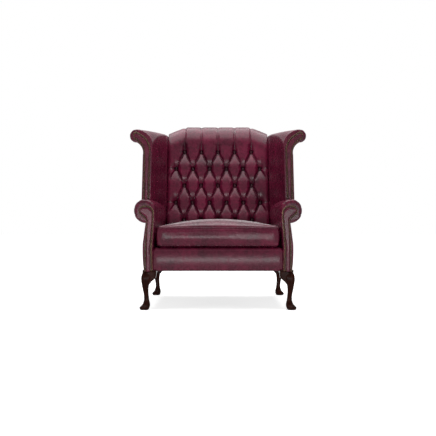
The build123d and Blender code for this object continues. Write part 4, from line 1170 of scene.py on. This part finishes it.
def leg_ear(name, front_y, away, beside):
    """A bracket under the seat rail, beside the knee or behind it."""
    rings = []
    for share in np.linspace(EAR_RUN_SHARES[0], 1, 17):
        out = EAR_PROUD * eased(share, EAR_RUN_SHARES, EAR_PROUD_SHARES)
        low = LEG - EAR_DROP * eased(share, EAR_RUN_SHARES, EAR_DROP_SHARES)
        face = [(-out, low), (EAR_IN, low), (EAR_IN, LEG), (-out, LEG)]
        run = EAR_RUN * share
        if beside:
            rings.append([(HEEL_X - run, front_y + away * o, z) for o, z in face])
        else:
            rings.append([(HEEL_X - o, front_y + away * run, z) for o, z in face])
    return loft(name, rings)


def leg(name, front_y, away):
    """A leg whose brackets run away from front_y, +1 for a front leg and -1 for a rear one."""
    y0, y1 = sorted((front_y, front_y + away * EAR_RUN))
    parts = [
        leg_stem(name, front_y, away),
        leg_ear(name + "_ear", front_y, away, True),
        leg_ear(name + "_ear", front_y, away, False),
        box_mesh(name + "_cap", (HEEL_X - EAR_RUN, y0, LEG - LEG_CAP), (HEEL_X, y1, LEG)),
    ]
    verts, faces = [], []
    for part in parts:
        off = len(verts)
        verts += [tuple(v.co) for v in part.data.vertices]
        faces += [tuple(off + i for i in p.vertices) for p in part.data.polygons]
        bpy.data.objects.remove(part)
    obj = modified(make(name, verts, faces), "REMESH", mode="VOXEL", voxel_size=LEG_VOXEL)
    modified(obj, "SMOOTH", factor=0.5, iterations=LEG_SMOOTHING)
    with edited(obj.data) as bm:
        for v in bm.verts:
            v.co.z = min(max(v.co.z, 0.0), LEG)
            if v.co.z > LEG - LEG_TOP_EDGE:
                v.co.y = front_y + away * max(away * (v.co.y - front_y), 0)
    shade_smooth(obj)
    return obj


for end, y, away in (("front", FRAME_Y, 1), ("rear", REAR_Y, -1)):
    for side, obj in both_sides(leg(f"right_{end}_cabriole", y, away)):
        finish(obj, WOOD)
        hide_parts(f"{side}_{end}_leg")


# Finishes of the nodes that stay

def repaint(node, material):
    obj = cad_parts[node]
    if not obj.material_slots:
        obj.data.materials.append(material)
    for slot in obj.material_slots:
        slot.material = material


for sides, names, material in (
    (("left_", "right_"), "arm_nails wing_nails", BRASS),
    (("left_", "right_"), "arm_post wing_post back_post arm_board wing_top_rail", BEECH),
    (("left_", "right_"), "arm_tack_rail seat_rail", BEECH),
    (("",), "front_seat_rail rear_seat_rail back_stuffing_rail back_top_rail corner_blocks", BEECH),
    (("",), "leg_bolts seat_springs spring_clips", STEEL),
    (("",), "back_webbing", JUTE),
    # The buttons get the darker leather with painted shade
    (("",), "back_buttons", SHADED_BUTTON_LEATHER),
    (("",), "cushion_zip", TAPE),
):
    for side in sides:
        for node in names.split():
            repaint(side + node, material)


# Floor, light and camera

FLOOR_HALF = 14.0
FLOOR_FADE = {"From Min": 0.9, "From Max": 2.8, "To Min": 0.72, "To Max": 1.0}
FLOOR_WHITE, FLOOR_BOUNCE, WHITE, AMBIENT = (0.93, 0.93, 0.93, 1), (0.5, 0.5, 0.5, 1), (1, 1, 1, 1), 0.14
LENS, CAMERA_PLACE = 50.7, (0, -3.761, 0.502)


def seen_rays(tree):
    """1 for the rays that show the background: camera, glossy and transmission rays."""
    path = new_node(tree, "ShaderNodeLightPath").outputs
    total = path["Is Camera Ray"]
    for ray in ("Is Glossy Ray", "Is Transmission Ray"):
        total = new_node(tree, "ShaderNodeMath", {0: total, 1: path[ray]}, operation="MAXIMUM").outputs[0]
    return total


def by_ray(tree, output, hidden, seen):
    """Shows the shader seen to the rays that show the background, and hidden to all others."""
    inputs = {0: seen_rays(tree), 1: hidden.outputs[0], 2: seen.outputs[0]}
    new_node(tree, output, {0: new_node(tree, "ShaderNodeMixShader", inputs).outputs[0]})


def floor():
    """A pale floor that keeps the object's shadow and fades to white around it."""
    mesh = bpy.data.meshes.new("floor")
    s = FLOOR_HALF
    mesh.from_pydata([(-s, -s, 0), (s, -s, 0), (s, s, 0), (-s, s, 0)], [], [(0, 1, 2, 3)])
    obj = link("floor", mesh)
    mat = bpy.data.materials.new("floor")
    mat.use_nodes = True
    tree = mat.node_tree
    tree.nodes.clear()
    coord = new_node(tree, "ShaderNodeTexCoord").outputs["Object"]
    far = new_node(tree, "ShaderNodeVectorMath", {0: coord}, operation="LENGTH").outputs["Value"]
    fade = new_node(tree, "ShaderNodeMapRange", {"Value": far, **FLOOR_FADE}, interpolation_type="SMOOTHSTEP")
    glow = new_node(tree, "ShaderNodeEmission", {"Color": WHITE, "Strength": fade.outputs["Result"]})
    diffuse = new_node(tree, "ShaderNodeBsdfDiffuse", {"Color": FLOOR_WHITE})
    lit = new_node(tree, "ShaderNodeAddShader", {0: diffuse.outputs[0], 1: glow.outputs[0]})
    plain = new_node(tree, "ShaderNodeBsdfDiffuse", {"Color": FLOOR_BOUNCE})
    by_ray(tree, "ShaderNodeOutputMaterial", plain, lit)
    obj.data.materials.append(mat)


def lamp(name, place, target, size, power):
    data = bpy.data.lights.new(name, "AREA")
    data.shape = "RECTANGLE"
    data.size, data.size_y = size
    data.energy = power
    obj = link(name, data)
    obj.location = place
    obj.rotation_euler = (Vector(target) - Vector(place)).to_track_quat("-Z", "Y").to_euler()


def studio_world():
    world = bpy.data.worlds.new("studio")
    bpy.context.scene.world = world
    world.use_nodes = True
    tree = world.node_tree
    tree.nodes.clear()
    ambient = new_node(tree, "ShaderNodeBackground", {"Color": WHITE, "Strength": AMBIENT})
    white = new_node(tree, "ShaderNodeBackground", {"Color": WHITE})
    by_ray(tree, "ShaderNodeOutputWorld", ambient, white)


floor()
lamp("top", (0, 0.25, 2.85), (0, 0.25001, 0), (2.4, 2.6), 100)
lamp("strip", (0, -4.9, 0.27), (0, 0, 0.36), (3.4, 0.22), 104)
for side, x in (("left", -2.8), ("right", 2.8)):
    lamp(side, (x, -1.8, 1.4), (0, 0, 0.6), (0.9, 1.8), 9)
studio_world()

camera_data = bpy.data.cameras.new("camera")
camera_data.sensor_width = 36
camera_data.lens = LENS
camera = link("camera", camera_data)
camera.location = CAMERA_PLACE
camera.rotation_euler = (math.radians(90), 0, 0)
bpy.context.scene.camera = camera
bpy.context.scene.view_settings.view_transform = "Standard"
